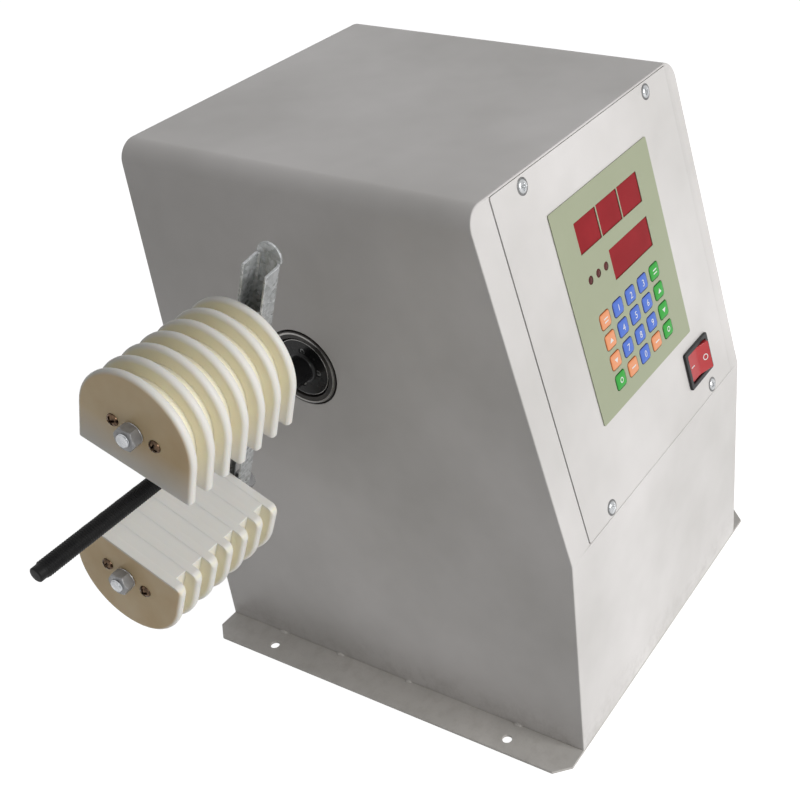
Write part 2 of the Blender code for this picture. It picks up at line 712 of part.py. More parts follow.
def window_rectangles(grow):
    # The four display windows, made larger by grow on every side
    half_height = WINDOW_HEIGHT / 2 + grow
    for index in range(WINDOW_COUNT):
        x = WINDOW_FIRST_X + index * WINDOW_PITCH
        half = WINDOW_WIDTH / 2 + grow
        yield rectangle(x - half, x + half, -WINDOW_S - half_height, -WINDOW_S + half_height)
    half = WIDE_WINDOW_WIDTH / 2 + grow
    yield rectangle(WIDE_WINDOW_X - half, WIDE_WINDOW_X + half,
                    -WIDE_WINDOW_S - half_height, -WIDE_WINDOW_S + half_height)


def display_edges(grow):
    # Left, right, top and bottom of the opening behind the display windows
    left = WINDOW_FIRST_X - WINDOW_WIDTH / 2 - DISPLAY_MARGIN
    right = max(WINDOW_FIRST_X + (WINDOW_COUNT - 1) * WINDOW_PITCH + WINDOW_WIDTH / 2,
                WIDE_WINDOW_X + WIDE_WINDOW_WIDTH / 2) + DISPLAY_MARGIN
    top = WINDOW_S - WINDOW_HEIGHT / 2 - DISPLAY_MARGIN
    bottom = WIDE_WINDOW_S + WINDOW_HEIGHT / 2 + DISPLAY_MARGIN
    return left - grow, right + grow, top - grow, bottom + grow


def key_field_edges():
    # Left, right, top and bottom of the opening behind the keys
    half_x = KEY_WIDTH / 2 + KEY_SKIRT + KEY_FIELD_MARGIN
    half_s = KEY_HEIGHT / 2 + KEY_SKIRT + KEY_FIELD_MARGIN
    last_x = KEY_FIRST_X + (KEY_COLUMNS - 1) * KEY_PITCH_X
    last_s = KEY_FIRST_S + (KEY_ROWS - 1) * KEY_PITCH_S
    return KEY_FIRST_X - half_x, last_x + half_x, KEY_FIRST_S - half_s, last_s + half_s


def board_edges():
    # Left, right, top and bottom of the display board
    display = display_edges(BOARD_MARGIN)
    keys = key_field_edges()
    return display[0], display[1], display[2], keys[3] + BOARD_MARGIN


def standoff_places():
    left, right, top, bottom = board_edges()
    for x in (left + STANDOFF_INSET, right - STANDOFF_INSET):
        for s in (top + STANDOFF_INSET, bottom - STANDOFF_INSET):
            yield x, -s


def make_control_panel(face):
    outline = rounded_rectangle(PANEL_LEFT, PANEL_RIGHT, -PANEL_BOTTOM, -PANEL_TOP,
                                PANEL_CORNER, CORNER_STEPS)
    plate = prism(outline, -PANEL_THICKNESS, 0)
    standoffs = []
    for place in standoff_places():
        outline = circle(STANDOFF_RADIUS, SMALL_STEPS, place)
        standoffs.append(prism(outline, -BOARD_DEPTH + GAP, -PANEL_THICKNESS + WELD))
    plate = fused(plate, standoffs)

    through = (-PANEL_THICKNESS - OVERRUN, OVERRUN)
    tools = [panel_box(*display_edges(0), *through), panel_box(*key_field_edges(), *through)]
    half_width = SWITCH_BODY_WIDTH / 2 + GAP
    half_height = SWITCH_BODY_HEIGHT / 2 + GAP
    tools.append(panel_box(SWITCH_X - half_width, SWITCH_X + half_width,
                           SWITCH_S - half_height, SWITCH_S + half_height, *through))
    for x in PANEL_SCREW_X:
        for s in PANEL_SCREW_S:
            tools.append(prism(circle(PANEL_SCREW_HOLE / 2, SMALL_STEPS, (x, -s)), *through))
    piece("control_panel", cut(plate, tools), PAINT, face)


def key_outline(grow):
    half_x = KEY_WIDTH / 2 + grow
    half_y = KEY_HEIGHT / 2 + grow
    return rounded_rectangle(-half_x, half_x, -half_y, half_y, KEY_CORNER + grow, KEY_CORNER_STEPS)


def make_keypad_overlay(face):
    outline = rounded_rectangle(OVERLAY_LEFT, OVERLAY_RIGHT, -OVERLAY_BOTTOM, -OVERLAY_TOP,
                                OVERLAY_CORNER, CORNER_STEPS)
    sheet = prism(outline, OVERLAY_UNDER, OVERLAY_FACE)
    low = OVERLAY_UNDER - OVERRUN
    high = OVERLAY_FACE + OVERRUN
    tools = [prism(window, low, high) for window in window_rectangles(GAP)]
    for x in LAMP_X:
        tools.append(prism(circle(LAMP_RADIUS + GAP, SMALL_STEPS, (x, -LAMP_S)), low, high))
    for x, s in key_places():
        tools.append(shifted(prism(key_outline(GAP), low, high), x, -s))
    piece("keypad_overlay", cut(sheet, tools), OVERLAY_SAGE, face)


def make_display_filter(face):
    left, right, top, bottom = display_edges(-GAP)
    plate = panel_box(left, right, top, bottom, -PANEL_THICKNESS, 0)
    raised = [prism(window, -WELD, OVERLAY_FACE) for window in window_rectangles(0)]
    for x in LAMP_X:
        raised.append(prism(circle(LAMP_RADIUS, SMALL_STEPS, (x, -LAMP_S)), -WELD, OVERLAY_FACE))
    piece("display_filter", fused(plate, raised), FILTER_RED, face)


def make_display_board(face):
    left, right, top, bottom = board_edges()
    plate = panel_box(left, right, top, bottom, -BOARD_DEPTH - BOARD_THICKNESS, -BOARD_DEPTH)
    module_face = -PANEL_THICKNESS - GAP
    parts = [prism(window, -BOARD_DEPTH - WELD, module_face) for window in window_rectangles(0)]
    for x in LAMP_X:
        outline = circle(LAMP_RADIUS, SMALL_STEPS, (x, -LAMP_S))
        parts.append(prism(outline, -BOARD_DEPTH - WELD, module_face))
    for x, s in key_places():
        half = TACT_SIZE / 2
        parts.append(panel_box(x - half, x + half, s - half, s + half,
                               -BOARD_DEPTH - WELD, -BOARD_DEPTH + TACT_HEIGHT))
    piece("display_board", fused(plate, parts), BOARD_GREEN, face)


def make_keys(face):
    # Each cap is held under the overlay by its skirt and pushes a switch on the board
    rings = (
        (-KEY_SKIRT_DEPTH, key_outline(KEY_SKIRT)),
        (0, key_outline(KEY_SKIRT)),
        (0, key_outline(0)),
        (OVERLAY_FACE + KEY_PROUD - KEY_EDGE_ROUND, key_outline(0)),
        (OVERLAY_FACE + KEY_PROUD, key_outline(-KEY_EDGE_ROUND)),
    )
    stem_end = -BOARD_DEPTH + TACT_HEIGHT + GAP + KEY_TRAVEL
    stem = prism(circle(KEY_STEM_RADIUS, STEM_STEPS), stem_end, -KEY_SKIRT_DEPTH + WELD)
    cap = fused(lofted(rings, "Z"), [stem])
    for index, (x, s) in enumerate(key_places()):
        row, column = divmod(index, KEY_COLUMNS)
        name = f"key_{row + 1}_{column + 1}"
        piece(name, cap.copy(), KEY_COLOURS[row][column], face, (x, -s, 0))


# Power switch. The rocker's coordinates are centred on its pivot

def make_switch_bezel(face):
    rim = rounded_rectangle(-BEZEL_WIDTH / 2, BEZEL_WIDTH / 2, -BEZEL_HEIGHT / 2, BEZEL_HEIGHT / 2,
                            BEZEL_CORNER, CORNER_STEPS)
    bezel = prism(rim, GAP, GAP + BEZEL_RIM)
    half_width = SWITCH_BODY_WIDTH / 2
    half_height = SWITCH_BODY_HEIGHT / 2
    body = box((-half_width, -half_height, -SWITCH_BODY_DEPTH), (half_width, half_height, GAP + WELD))
    well_half = ROCKER_RADIUS + GAP
    well_high = ROCKER_HEIGHT / 2 + GAP
    well = box((-well_half, -well_high, -WELL_DEPTH), (well_half, well_high, GAP + BEZEL_RIM + OVERRUN))
    pin_half = well_high + ROCKER_PIN_LENGTH
    pin_outline = circle(ROCKER_PIN_RADIUS + GAP, SMALL_STEPS, (0, -ROCKER_PIVOT_DEPTH))
    pins = prism(pin_outline, -pin_half, pin_half, "Y")
    bezel = cut(fused(bezel, [body]), [well, pins])
    piece("switch_bezel", bezel, BLACK_PLASTIC, face, (SWITCH_X, -SWITCH_S, 0))


def make_switch_rocker(face):
    # Two finger faces meet in a shallow valley, and both ends are arcs about the pivot
    outline = []
    for side, order in ((1, (0, 1, 2, 3)), (-1, (3, 2, 1, 0))):
        for step in order:
            angle = -ROCKER_LOWER + (ROCKER_UPPER + ROCKER_LOWER) * step / CORNER_STEPS
            outline.append((side * ROCKER_RADIUS * math.cos(angle), ROCKER_RADIUS * math.sin(angle)))
        middle = ROCKER_VALLEY if side > 0 else -ROCKER_KEEL
        outline.append((0, middle))
    half = ROCKER_HEIGHT / 2
    block = prism(outline, -half, half, "Y")
    pin_end = half + ROCKER_PIN_LENGTH
    pins = prism(circle(ROCKER_PIN_RADIUS, SMALL_STEPS), -pin_end, pin_end, "Y")
    place = (SWITCH_X, -SWITCH_S, -ROCKER_PIVOT_DEPTH)
    piece("switch_rocker", fused(block, [pins]), ROCKER_RED, face, place, (0, -ROCKER_TILT, 0))


# Spindle. Turned pieces have X along the spindle, from the winding side's outer face inwards

def make_bearing_block(axis):
    inner = SHEET + GAP
    profile = (
        (-NOSE_PROUD, NOSE_BORE_RADIUS),
        (-NOSE_PROUD, NOSE_RADIUS),
        (inner, NOSE_RADIUS),
        (inner, BLOCK_RADIUS),
        (BLOCK_LENGTH, BLOCK_RADIUS),
        (BLOCK_LENGTH, BEARING_RADIUS),
        (BEARING_SHOULDER, BEARING_RADIUS),
        (BEARING_SHOULDER, NOSE_BORE_RADIUS),
    )
    half = BLOCK_FLANGE / 2
    flange = prism(rectangle(-half, half, -half, half), inner + WELD, inner + BLOCK_FLANGE_THICKNESS, "X")
    core = prism(circle(BLOCK_RADIUS - WELD, ROUND_STEPS), 0, BLOCK_LENGTH, "X")
    tools = [core]
    for place in block_stud_places():
        outline = circle(BLOCK_STUD_RADIUS + GAP, SMALL_STEPS, place)
        tools.append(prism(outline, 0, inner + BLOCK_FLANGE_THICKNESS + OVERRUN, "X"))
    block = fused(turned(profile), [cut(flange, tools)])
    piece("bearing_block", block, IRON, axis)


def bearing_mesh():
    # A shielded ball bearing, whose face steps in between the two rings
    outer = BEARING_RADIUS - GAP
    inner = SHAFT_RADIUS + GAP
    shield = BEARING_WIDTH - BEARING_SHIELD_RECESS
    profile = (
        (0, inner),
        (0, outer),
        (BEARING_WIDTH, outer),
        (BEARING_WIDTH, outer - BEARING_RING),
        (shield, outer - BEARING_RING),
        (shield, inner + BEARING_RING),
        (BEARING_WIDTH, inner + BEARING_RING),
        (BEARING_WIDTH, inner),
    )
    return turned(profile, INNER_STEPS)


def make_bearings(axis):
    piece("front_bearing", bearing_mesh(), STEEL, axis, (BEARING_SHOULDER + GAP, 0, 0))
    piece("rear_bearing", bearing_mesh(), STEEL, axis, (BLOCK_LENGTH - BEARING_WIDTH - GAP, 0, 0))


def make_spindle(axis):
    arbor_end = -RAIL_BACK + GAP
    hub_back = HUB_FACE + HUB_THICKNESS
    neck = ROD_NECK_RADIUS + GAP
    profile = (
        (arbor_end, neck),
        (arbor_end, ARBOR_RADIUS),
        (HUB_FACE - ARBOR_FILLET, ARBOR_RADIUS),
        (HUB_FACE, ARBOR_RADIUS + ARBOR_FILLET),
        (HUB_FACE, HUB_RADIUS - HUB_CHAMFER),
        (HUB_FACE + HUB_CHAMFER, HUB_RADIUS),
        (hub_back, HUB_RADIUS),
        (hub_back, HUB_COLLAR_RADIUS),
        (BEARING_SHOULDER, HUB_COLLAR_RADIUS),
        (BEARING_SHOULDER, SHAFT_RADIUS),
        (SHAFT_END, SHAFT_RADIUS),
        (SHAFT_END, 0),
        (arbor_end + ROD_NECK_LENGTH, 0),
        (arbor_end + ROD_NECK_LENGTH, neck),
    )
    tools = []
    for index in range(HUB_BOLT_COUNT):
        angle = HUB_BOLT_TURN + math.tau * index / HUB_BOLT_COUNT
        place = (HUB_BOLT_RADIUS * math.cos(angle), HUB_BOLT_RADIUS * math.sin(angle))
        outline = circle(HUB_BOLT_HOLE / 2, SMALL_STEPS, place)
        tools.append(prism(outline, HUB_FACE - OVERRUN, HUB_FACE + HUB_BOLT_DEPTH, "X"))
    piece("spindle", cut(turned(profile), tools), BLACK_STEEL, axis)


def make_head_rail(axis):
    # A folded channel, open outwards, with a round tongue at each end of its web
    outer_bend = RAIL_BEND + RAIL_SHEET
    outside = rounded(
        ((-RAIL_EDGE, -RAIL_HALF_WIDTH), (-RAIL_BACK, -RAIL_HALF_WIDTH),
         (-RAIL_BACK, RAIL_HALF_WIDTH), (-RAIL_EDGE, RAIL_HALF_WIDTH)),
        (0, outer_bend, outer_bend, 0), CORNER_STEPS)
    inner_half = RAIL_HALF_WIDTH - RAIL_SHEET
    inside = rounded(
        ((-RAIL_EDGE - OVERRUN, -inner_half), (-RAIL_WEB, -inner_half),
         (-RAIL_WEB, inner_half), (-RAIL_EDGE - OVERRUN, inner_half)),
        (0, RAIL_BEND, RAIL_BEND, 0), CORNER_STEPS)
    channel = cut(prism(outside, -RAIL_HALF_LENGTH, RAIL_HALF_LENGTH),
                  [prism(inside, -RAIL_HALF_LENGTH - OVERRUN, RAIL_HALF_LENGTH + OVERRUN)])
    tongue_half = RAIL_HALF_WIDTH - TONGUE_INSET
    tongue_end = RAIL_HALF_LENGTH + RAIL_HALF_WIDTH
    web = slot(0, tongue_half, -tongue_end, tongue_end, 2 * CORNER_STEPS)
    channel = fused(channel, [prism(web, -RAIL_WEB, -RAIL_BACK, "X")])

    through = (-RAIL_WEB - OVERRUN, -RAIL_BACK + OVERRUN)
    half = STUD_RADIUS + GAP
    tools = [
        prism(slot(0, half, SLOT_INNER, SLOT_OUTER, CORNER_STEPS), *through, "X"),
        prism(slot(0, half, -SLOT_OUTER, -SLOT_INNER, CORNER_STEPS), *through, "X"),
        prism(circle(ROD_NECK_RADIUS + GAP, ROUND_STEPS // 2), *through, "X"),
    ]
    piece("head_rail", cut(channel, tools), ZINC, axis)


def make_centre_rod(axis):
    shoulder = -RAIL_WEB - GAP
    neck_end = -RAIL_BACK + ROD_NECK_LENGTH
    profile = (
        (-ROD_END, 0),
        (-ROD_END, ROD_RADIUS - ROD_TIP),
        (-ROD_END + ROD_TIP, ROD_RADIUS),
        (shoulder, ROD_RADIUS),
        (shoulder, ROD_NECK_RADIUS),
        (neck_end, ROD_NECK_RADIUS),
        (neck_end, 0),
    )
    piece("centre_rod", turned(profile, ROUND_STEPS // 2), BLACK_STEEL, axis)


# Formers. Each has its stud at the middle, the flat side below and the round side above

def former_outline(half_width, straight, flat_drop, left_corner, right_corner, inset, flat_inset):
    half = half_width - inset
    flat = -flat_drop + flat_inset
    arc_centre = -flat_drop + straight
    points = []
    for side, corner, start_angle in ((-1, left_corner, math.pi), (1, right_corner, math.pi * 3 / 2)):
        radius = max(corner - inset, GAP)
        centre_y = side * (half - radius)
        for step in range(FORMER_CORNER_STEPS + 1):
            angle = start_angle + math.pi / 2 * step / FORMER_CORNER_STEPS
            points.append((centre_y + radius * math.cos(angle), flat + radius + radius * math.sin(angle)))
    for step in range(ARC_STEPS + 1):
        angle = math.pi * step / ARC_STEPS
        points.append((half * math.cos(angle), arc_centre + half * math.sin(angle)))
    return points


def former_segment(sizes, with_spacer):
    # A plate with a rounded rim, and behind it the spacer that makes the groove's floor
    def ring(along, inset, flat_inset):
        return along, former_outline(*sizes, inset, flat_inset)

    rim = PLATE_RIM_ROUND
    rings = [
        ring(0, rim, PLATE_FLAT_ROUND),
        ring(rim, 0, 0),
        ring(PLATE_THICKNESS - rim, 0, 0),
        ring(PLATE_THICKNESS, rim, PLATE_FLAT_ROUND),
    ]
    if with_spacer:
        rings.append(ring(PLATE_THICKNESS, GROOVE_DEPTH, SPACER_FLAT_INSET))
        rings.append(ring(FORMER_PITCH - GAP, GROOVE_DEPTH, SPACER_FLAT_INSET))
    holes = [prism(circle(STUD_RADIUS + GAP, SMALL_STEPS), -OVERRUN, FORMER_PITCH + OVERRUN, "X")]
    for side in (-1, 1):
        outline = circle(SCREW_HOLE / 2, SMALL_STEPS, (side * SCREW_OFFSET, 0))
        holes.append(prism(outline, -OVERRUN, FORMER_PITCH + OVERRUN, "X"))
    return cut(lofted(rings, "X"), holes)


def stud_mesh():
    # A threaded stud with its washer and nut in front, and the nut behind the rail's web
    washer_back = -FORMER_FACE - GAP
    nut_back = washer_back - WASHER_THICKNESS
    nut_face = nut_back - NUT_HEIGHT
    rear_face = -RAIL_BACK + GAP
    rear_end = rear_face + NUT_HEIGHT
    shaft = prism(circle(STUD_RADIUS, SMALL_STEPS), nut_face - STUD_PROUD, rear_end + STUD_PROUD / 2, "X")
    nut = circle(NUT_ACROSS / 2 / math.cos(math.pi / NUT_SIDES), NUT_SIDES)
    washer = prism(circle(WASHER_RADIUS, ROUND_STEPS // 2), nut_back, washer_back, "X")
    front_nut = prism(nut, nut_face, nut_back + WELD, "X")
    rear_nut = prism(nut, rear_face, rear_end, "X")
    return fused(shaft, [washer, front_nut, rear_nut])


def make_former(name, slide, sizes):
    full = former_segment(sizes, True)
    for index in range(FORMER_GROOVES + 1):
        last = index == FORMER_GROOVES
        mesh = former_segment(sizes, False) if last else full.copy()
        place = (-FORMER_FACE + index * FORMER_PITCH, 0, 0)
        piece(f"{name}_plate_{index + 1}", mesh, IVORY, slide, place)
    piece(f"{name}_stud", stud_mesh(), ZINC, slide)


# Belt drive

def groove_half(above_pitch):
    # Half the width of the pulley's groove at a height over the pitch line
    return BELT_PITCH_WIDTH / 2 + above_pitch * math.tan(BELT_ANGLE) + GAP / math.cos(BELT_ANGLE)


def groove_profile(pitch_radius):
    # From the groove's left lip to its right lip
    top = groove_half(PULLEY_ABOVE_PITCH)
    floor = groove_half(-PULLEY_BELOW_PITCH)
    lip_radius = pitch_radius + PULLEY_ABOVE_PITCH
    floor_radius = pitch_radius - PULLEY_BELOW_PITCH
    return [(PULLEY_PLANE - top, lip_radius), (PULLEY_PLANE - floor, floor_radius),
            (PULLEY_PLANE + floor, floor_radius), (PULLEY_PLANE + top, lip_radius)]


def make_spindle_pulley(axis):
    # A dished pulley: hub, thin web and grooved rim
    bore = SHAFT_RADIUS + GAP
    lip = SPINDLE_PITCH_RADIUS + PULLEY_ABOVE_PITCH
    rim = SPINDLE_PITCH_RADIUS - PULLEY_BELOW_PITCH - PULLEY_RIM
    half_rim = PULLEY_WIDTH / 2
    half_hub = PULLEY_HUB_WIDTH / 2
    half_web = PULLEY_WEB / 2
    left = [(-half_hub, bore), (-half_hub, PULLEY_HUB_RADIUS), (-half_web, PULLEY_HUB_RADIUS),
            (-half_web, rim), (-half_rim, rim), (-half_rim, lip)]
    profile = [(PULLEY_PLANE + along, radius) for along, radius in left]
    profile.extend(groove_profile(SPINDLE_PITCH_RADIUS))
    profile.extend((PULLEY_PLANE - along, radius) for along, radius in reversed(left))
    piece("spindle_pulley", turned(profile, INNER_STEPS), ALUMINIUM, axis)


def make_motor_pulley(axis):
    lip = MOTOR_PITCH_RADIUS + PULLEY_ABOVE_PITCH
    front = PULLEY_PLANE - PULLEY_WIDTH / 2
    back = PULLEY_PLANE + PULLEY_WIDTH / 2
    shaft_end = BRACKET_X + BRACKET_THICKNESS + MOTOR_BORE_DEPTH - OVERRUN
    profile = [(front, 0), (front, lip), *groove_profile(MOTOR_PITCH_RADIUS), (back, lip),
               (back, MOTOR_PITCH_RADIUS - PULLEY_BELOW_PITCH),
               (back + MOTOR_PULLEY_HUB, MOTOR_PITCH_RADIUS - PULLEY_BELOW_PITCH),
               (back + MOTOR_PULLEY_HUB, MOTOR_SHAFT_RADIUS),
               (shaft_end, MOTOR_SHAFT_RADIUS), (shaft_end, 0)]
    piece("motor_pulley", turned(profile, INNER_STEPS), STEEL, axis)


def make_drive_belt(axis):
    # A tapered section swept round both pulleys: two arcs and the two straight runs between them
    lean = math.asin((SPINDLE_PITCH_RADIUS - MOTOR_PITCH_RADIUS) / MOTOR_DROP)
    section = []
    for above in (-BELT_BELOW_PITCH, BELT_ABOVE_PITCH):
        half = BELT_PITCH_WIDTH / 2 + above * math.tan(BELT_ANGLE)
        section.append((above, half))
    inner, outer = section
    corners = ((inner[0], -inner[1]), (outer[0], -outer[1]), outer, inner)
    shape = bmesh.new()
    loops = []
    for centre_z, radius, start, sweep, steps in (
            (0, SPINDLE_PITCH_RADIUS, -lean, math.pi + 2 * lean, BELT_BIG_STEPS),
            (-MOTOR_DROP, MOTOR_PITCH_RADIUS, math.pi + lean, math.pi - 2 * lean, BELT_SMALL_STEPS)):
        for step in range(steps + 1):
            angle = start + sweep * step / steps
            loop = []
            for above, side in corners:
                reach = radius + above
                place = (PULLEY_PLANE + side, reach * math.cos(angle), centre_z + reach * math.sin(angle))
                loop.append(shape.verts.new(place))
            loops.append(loop)
    for index, loop in enumerate(loops):
        before = loops[index - 1]
        for corner in range(len(corners)):
            after = (corner + 1) % len(corners)
            shape.faces.new((before[corner], before[after], loop[after], loop[corner]))
    piece("drive_belt", finished(shape), RUBBER, axis)


def make_motor_bracket():
    low = SIDE_X + BRACKET_X
    foot = BASE_TOP + GAP
    outline = ((low, foot), (low + BRACKET_FOOT, foot), (low + BRACKET_FOOT, foot + BRACKET_THICKNESS),
               (low + BRACKET_THICKNESS, foot + BRACKET_THICKNESS),
               (low + BRACKET_THICKNESS, MOTOR_Z + BRACKET_ABOVE_AXIS), (low, MOTOR_Z + BRACKET_ABOVE_AXIS))
    bracket = prism(outline, AXIS_Y - BRACKET_HALF_WIDTH, AXIS_Y + BRACKET_HALF_WIDTH, "Y")
    through = (low - OVERRUN, low + BRACKET_THICKNESS + OVERRUN)
    tools = [prism(circle(MOTOR_BOSS_RADIUS + GAP, ROUND_STEPS, (AXIS_Y, MOTOR_Z)), *through, "X")]
    for index in range(BRACKET_BOLT_COUNT):
        angle = math.tau * (index + 0.5) / BRACKET_BOLT_COUNT
        place = (AXIS_Y + BRACKET_BOLT_RADIUS * math.cos(angle),
                 MOTOR_Z + BRACKET_BOLT_RADIUS * math.sin(angle))
        tools.append(prism(circle(BRACKET_BOLT_HOLE / 2, SMALL_STEPS, place), *through, "X"))
    piece("motor_bracket", cut(bracket, tools), IRON)


def make_motor(axis):
    front = BRACKET_X + BRACKET_THICKNESS + GAP
    back = front + MOTOR_LENGTH
    bell = MOTOR_RADIUS - MOTOR_BELL_STEP
    bore = MOTOR_SHAFT_RADIUS + GAP
    profile = (
        (front - MOTOR_BOSS_HEIGHT, bore),
        (front - MOTOR_BOSS_HEIGHT, MOTOR_BOSS_RADIUS),
        (front, MOTOR_BOSS_RADIUS),
        (front, bell),
        (front + MOTOR_BELL, bell),
        (front + MOTOR_BELL, MOTOR_RADIUS),
        (back - MOTOR_BELL, MOTOR_RADIUS),
        (back - MOTOR_BELL, bell),
        (back, bell),
        (back, 0),
        (front + MOTOR_BORE_DEPTH, 0),
        (front + MOTOR_BORE_DEPTH, bore),
    )
    piece("motor", turned(profile, INNER_STEPS), IRON, axis)


# Electrical pieces

def make_transformer():
    left = SIDE_X + TRANSFORMER_X
    front = FRONT_Y + TRANSFORMER_Y
    foot = BASE_TOP + GAP
    core_top = foot + TRANSFORMER_FOOT + CORE_HEIGHT
    middle_x = left + TRANSFORMER_FOOT_LENGTH / 2
    middle_y = front + COIL_DEPTH / 2
    middle_z = foot + TRANSFORMER_FOOT + CORE_HEIGHT / 2

    def block(width, depth, low, high):
        return box((middle_x - width / 2, middle_y - depth / 2, low),
                   (middle_x + width / 2, middle_y + depth / 2, high))

    core = block(CORE_WIDTH, CORE_DEPTH, foot + TRANSFORMER_FOOT - WELD, core_top)
    strap = block(TRANSFORMER_FOOT_LENGTH, CORE_DEPTH - 2 * TRANSFORMER_FOOT, foot, foot + TRANSFORMER_FOOT)
    coil = block(COIL_WIDTH, COIL_DEPTH, middle_z - COIL_HEIGHT / 2, middle_z + COIL_HEIGHT / 2)
    piece("transformer", fused(core, [strap, coil]), COPPER)


def make_control_board():
    left = SIDE_X + CONTROL_X
    front = FRONT_Y + CONTROL_Y
    foot = BASE_TOP + GAP
    under = foot + CONTROL_LEGS
    face = under + BOARD_THICKNESS
    board = box((left, front, under), (left + CONTROL_WIDTH, front + CONTROL_DEPTH, face))
    parts = []
    for x in (left + CONTROL_LEG_INSET, left + CONTROL_WIDTH - CONTROL_LEG_INSET):
        for y in (front + CONTROL_LEG_INSET, front + CONTROL_DEPTH - CONTROL_LEG_INSET):
            parts.append(prism(circle(CONTROL_LEG_RADIUS, SMALL_STEPS, (x, y)), foot, under + WELD))

    # Finned heat sink, relay and capacitor
    sink_left = left + (CONTROL_WIDTH - SINK_WIDTH) / 2
    sink_back = front + CONTROL_DEPTH - SINK_INSET
    sink_front = sink_back - SINK_DEPTH
    sink = box((sink_left, sink_front, face - WELD),
               (sink_left + SINK_WIDTH, sink_back, face + SINK_HEIGHT))
    fin_pitch = SINK_WIDTH / SINK_FINS
    slots = []
    for index in range(1, SINK_FINS):
        middle = sink_left + index * fin_pitch
        slots.append(box((middle - SINK_FIN_GAP / 2, sink_front - OVERRUN, face + SINK_FLOOR),
                         (middle + SINK_FIN_GAP / 2, sink_back + OVERRUN, face + SINK_HEIGHT + OVERRUN)))
    parts.append(cut(sink, slots))
    relay_x = left + CONTROL_PART_INSET
    relay_y = front + CONTROL_PART_INSET
    parts.append(box((relay_x, relay_y, face - WELD),
                     (relay_x + RELAY_WIDTH, relay_y + RELAY_DEPTH, face + RELAY_HEIGHT)))
    place = (left + CONTROL_WIDTH - CONTROL_PART_INSET, relay_y + RELAY_DEPTH / 2)
    capacitor = circle(CAPACITOR_RADIUS, ROUND_STEPS // 2, place)
    parts.append(prism(capacitor, face - WELD, face + CAPACITOR_HEIGHT))
    piece("control_board", fused(board, parts), BOARD_GREEN)


def socket_frame(across):
    # A place on the rear panel's outer face: X across, Y into the housing is negative, Z up
    return SIDE_X + across, REAR_Y + GAP + SHEET, BASE_TOP + INLET_HEIGHT


def make_rear_panel():
    low = REAR_Y + GAP
    high = low + SHEET
    corners = rectangle(SIDE_X + REAR_PANEL_MARGIN, -SIDE_X - REAR_PANEL_MARGIN,
                        COVER_FOOT, TOP_Z - REAR_PANEL_MARGIN)
    outline = rounded(corners, (0, 0, TOP_BEND, TOP_BEND), CORNER_STEPS)
    plate = prism(outline, low, high, "Y")
    through = (low - OVERRUN, high + OVERRUN)
    tools = []
    vent_middle = TOP_Z - VENT_DROP
    for index in range(VENT_COUNT):
        x = (index - (VENT_COUNT - 1) / 2) * VENT_PITCH
        outline = slot(x, VENT_WIDTH / 2, vent_middle - VENT_LENGTH / 2, vent_middle + VENT_LENGTH / 2,
                       VENT_END_STEPS)
        tools.append(prism(outline, *through, "Y"))
    x, _, z = socket_frame(INLET_X)
    half_width = INLET_BODY_WIDTH / 2 + GAP
    half_height = INLET_BODY_HEIGHT / 2 + GAP
    opening = rectangle(x - half_width, x + half_width, z - half_height, z + half_height)
    tools.append(prism(opening, *through, "Y"))
    x, _, z = socket_frame(PEDAL_X)
    tools.append(prism(circle(PEDAL_RADIUS + GAP, PEDAL_STEPS, (x, z)), *through, "Y"))
    piece("rear_panel", cut(plate, tools), PAINT)


def make_power_inlet():
    # A flanged appliance inlet: a well with three pins
    outline = rounded_rectangle(-INLET_FLANGE_WIDTH / 2, INLET_FLANGE_WIDTH / 2,
                                -INLET_FLANGE_HEIGHT / 2, INLET_FLANGE_HEIGHT / 2, INLET_CORNER, CORNER_STEPS)
    flange = prism(outline, GAP, GAP + INLET_FLANGE_THICKNESS, "Y")
    half_width = INLET_BODY_WIDTH / 2
    half_height = INLET_BODY_HEIGHT / 2
    outline = rectangle(-half_width, half_width, -half_height, half_height)
    body = prism(outline, -INLET_BODY_DEPTH, GAP + WELD, "Y")
    well_half = INLET_WELL_WIDTH / 2
    well_high = INLET_WELL_HEIGHT / 2
    corner = INLET_WELL_CORNER
    outline = rounded(rectangle(-well_half, well_half, -well_high, well_high), (0, 0, corner, corner),
                      CHAMFER_STEPS)
    well_floor = GAP + INLET_FLANGE_THICKNESS - INLET_WELL_DEPTH
    well = prism(outline, well_floor, GAP + INLET_FLANGE_THICKNESS + OVERRUN, "Y")
    pins = []
    for across, rise in ((-1, 0), (0, 1), (1, 0)):
        x = across * INLET_PIN_PITCH
        z = rise * INLET_EARTH_RISE
        pins.append(box((x - INLET_PIN_WIDTH / 2, well_floor - WELD, z - INLET_PIN_HEIGHT / 2),
                        (x + INLET_PIN_WIDTH / 2, well_floor + INLET_PIN_LENGTH, z + INLET_PIN_HEIGHT / 2)))
    inlet = fused(cut(fused(flange, [body]), [well]), pins)
    piece("power_inlet", inlet, BLACK_PLASTIC, None, socket_frame(INLET_X))


def make_pedal_socket():
    face = GAP + PEDAL_FLANGE_THICKNESS
    floor = face - PEDAL_WELL_DEPTH
    profile = (
        (-PEDAL_DEPTH, 0),
        (-PEDAL_DEPTH, PEDAL_RADIUS),
        (GAP, PEDAL_RADIUS),
        (GAP, PEDAL_FLANGE_RADIUS),
        (face, PEDAL_FLANGE_RADIUS),
        (face, PEDAL_WELL_RADIUS),
        (floor, PEDAL_WELL_RADIUS),
        (floor, 0),
    )
    socket = moved(turned(profile, PEDAL_STEPS), Matrix.Rotation(math.pi / 2, 4, "Z"))
    piece("pedal_socket", socket, STEEL, None, socket_frame(PEDAL_X))


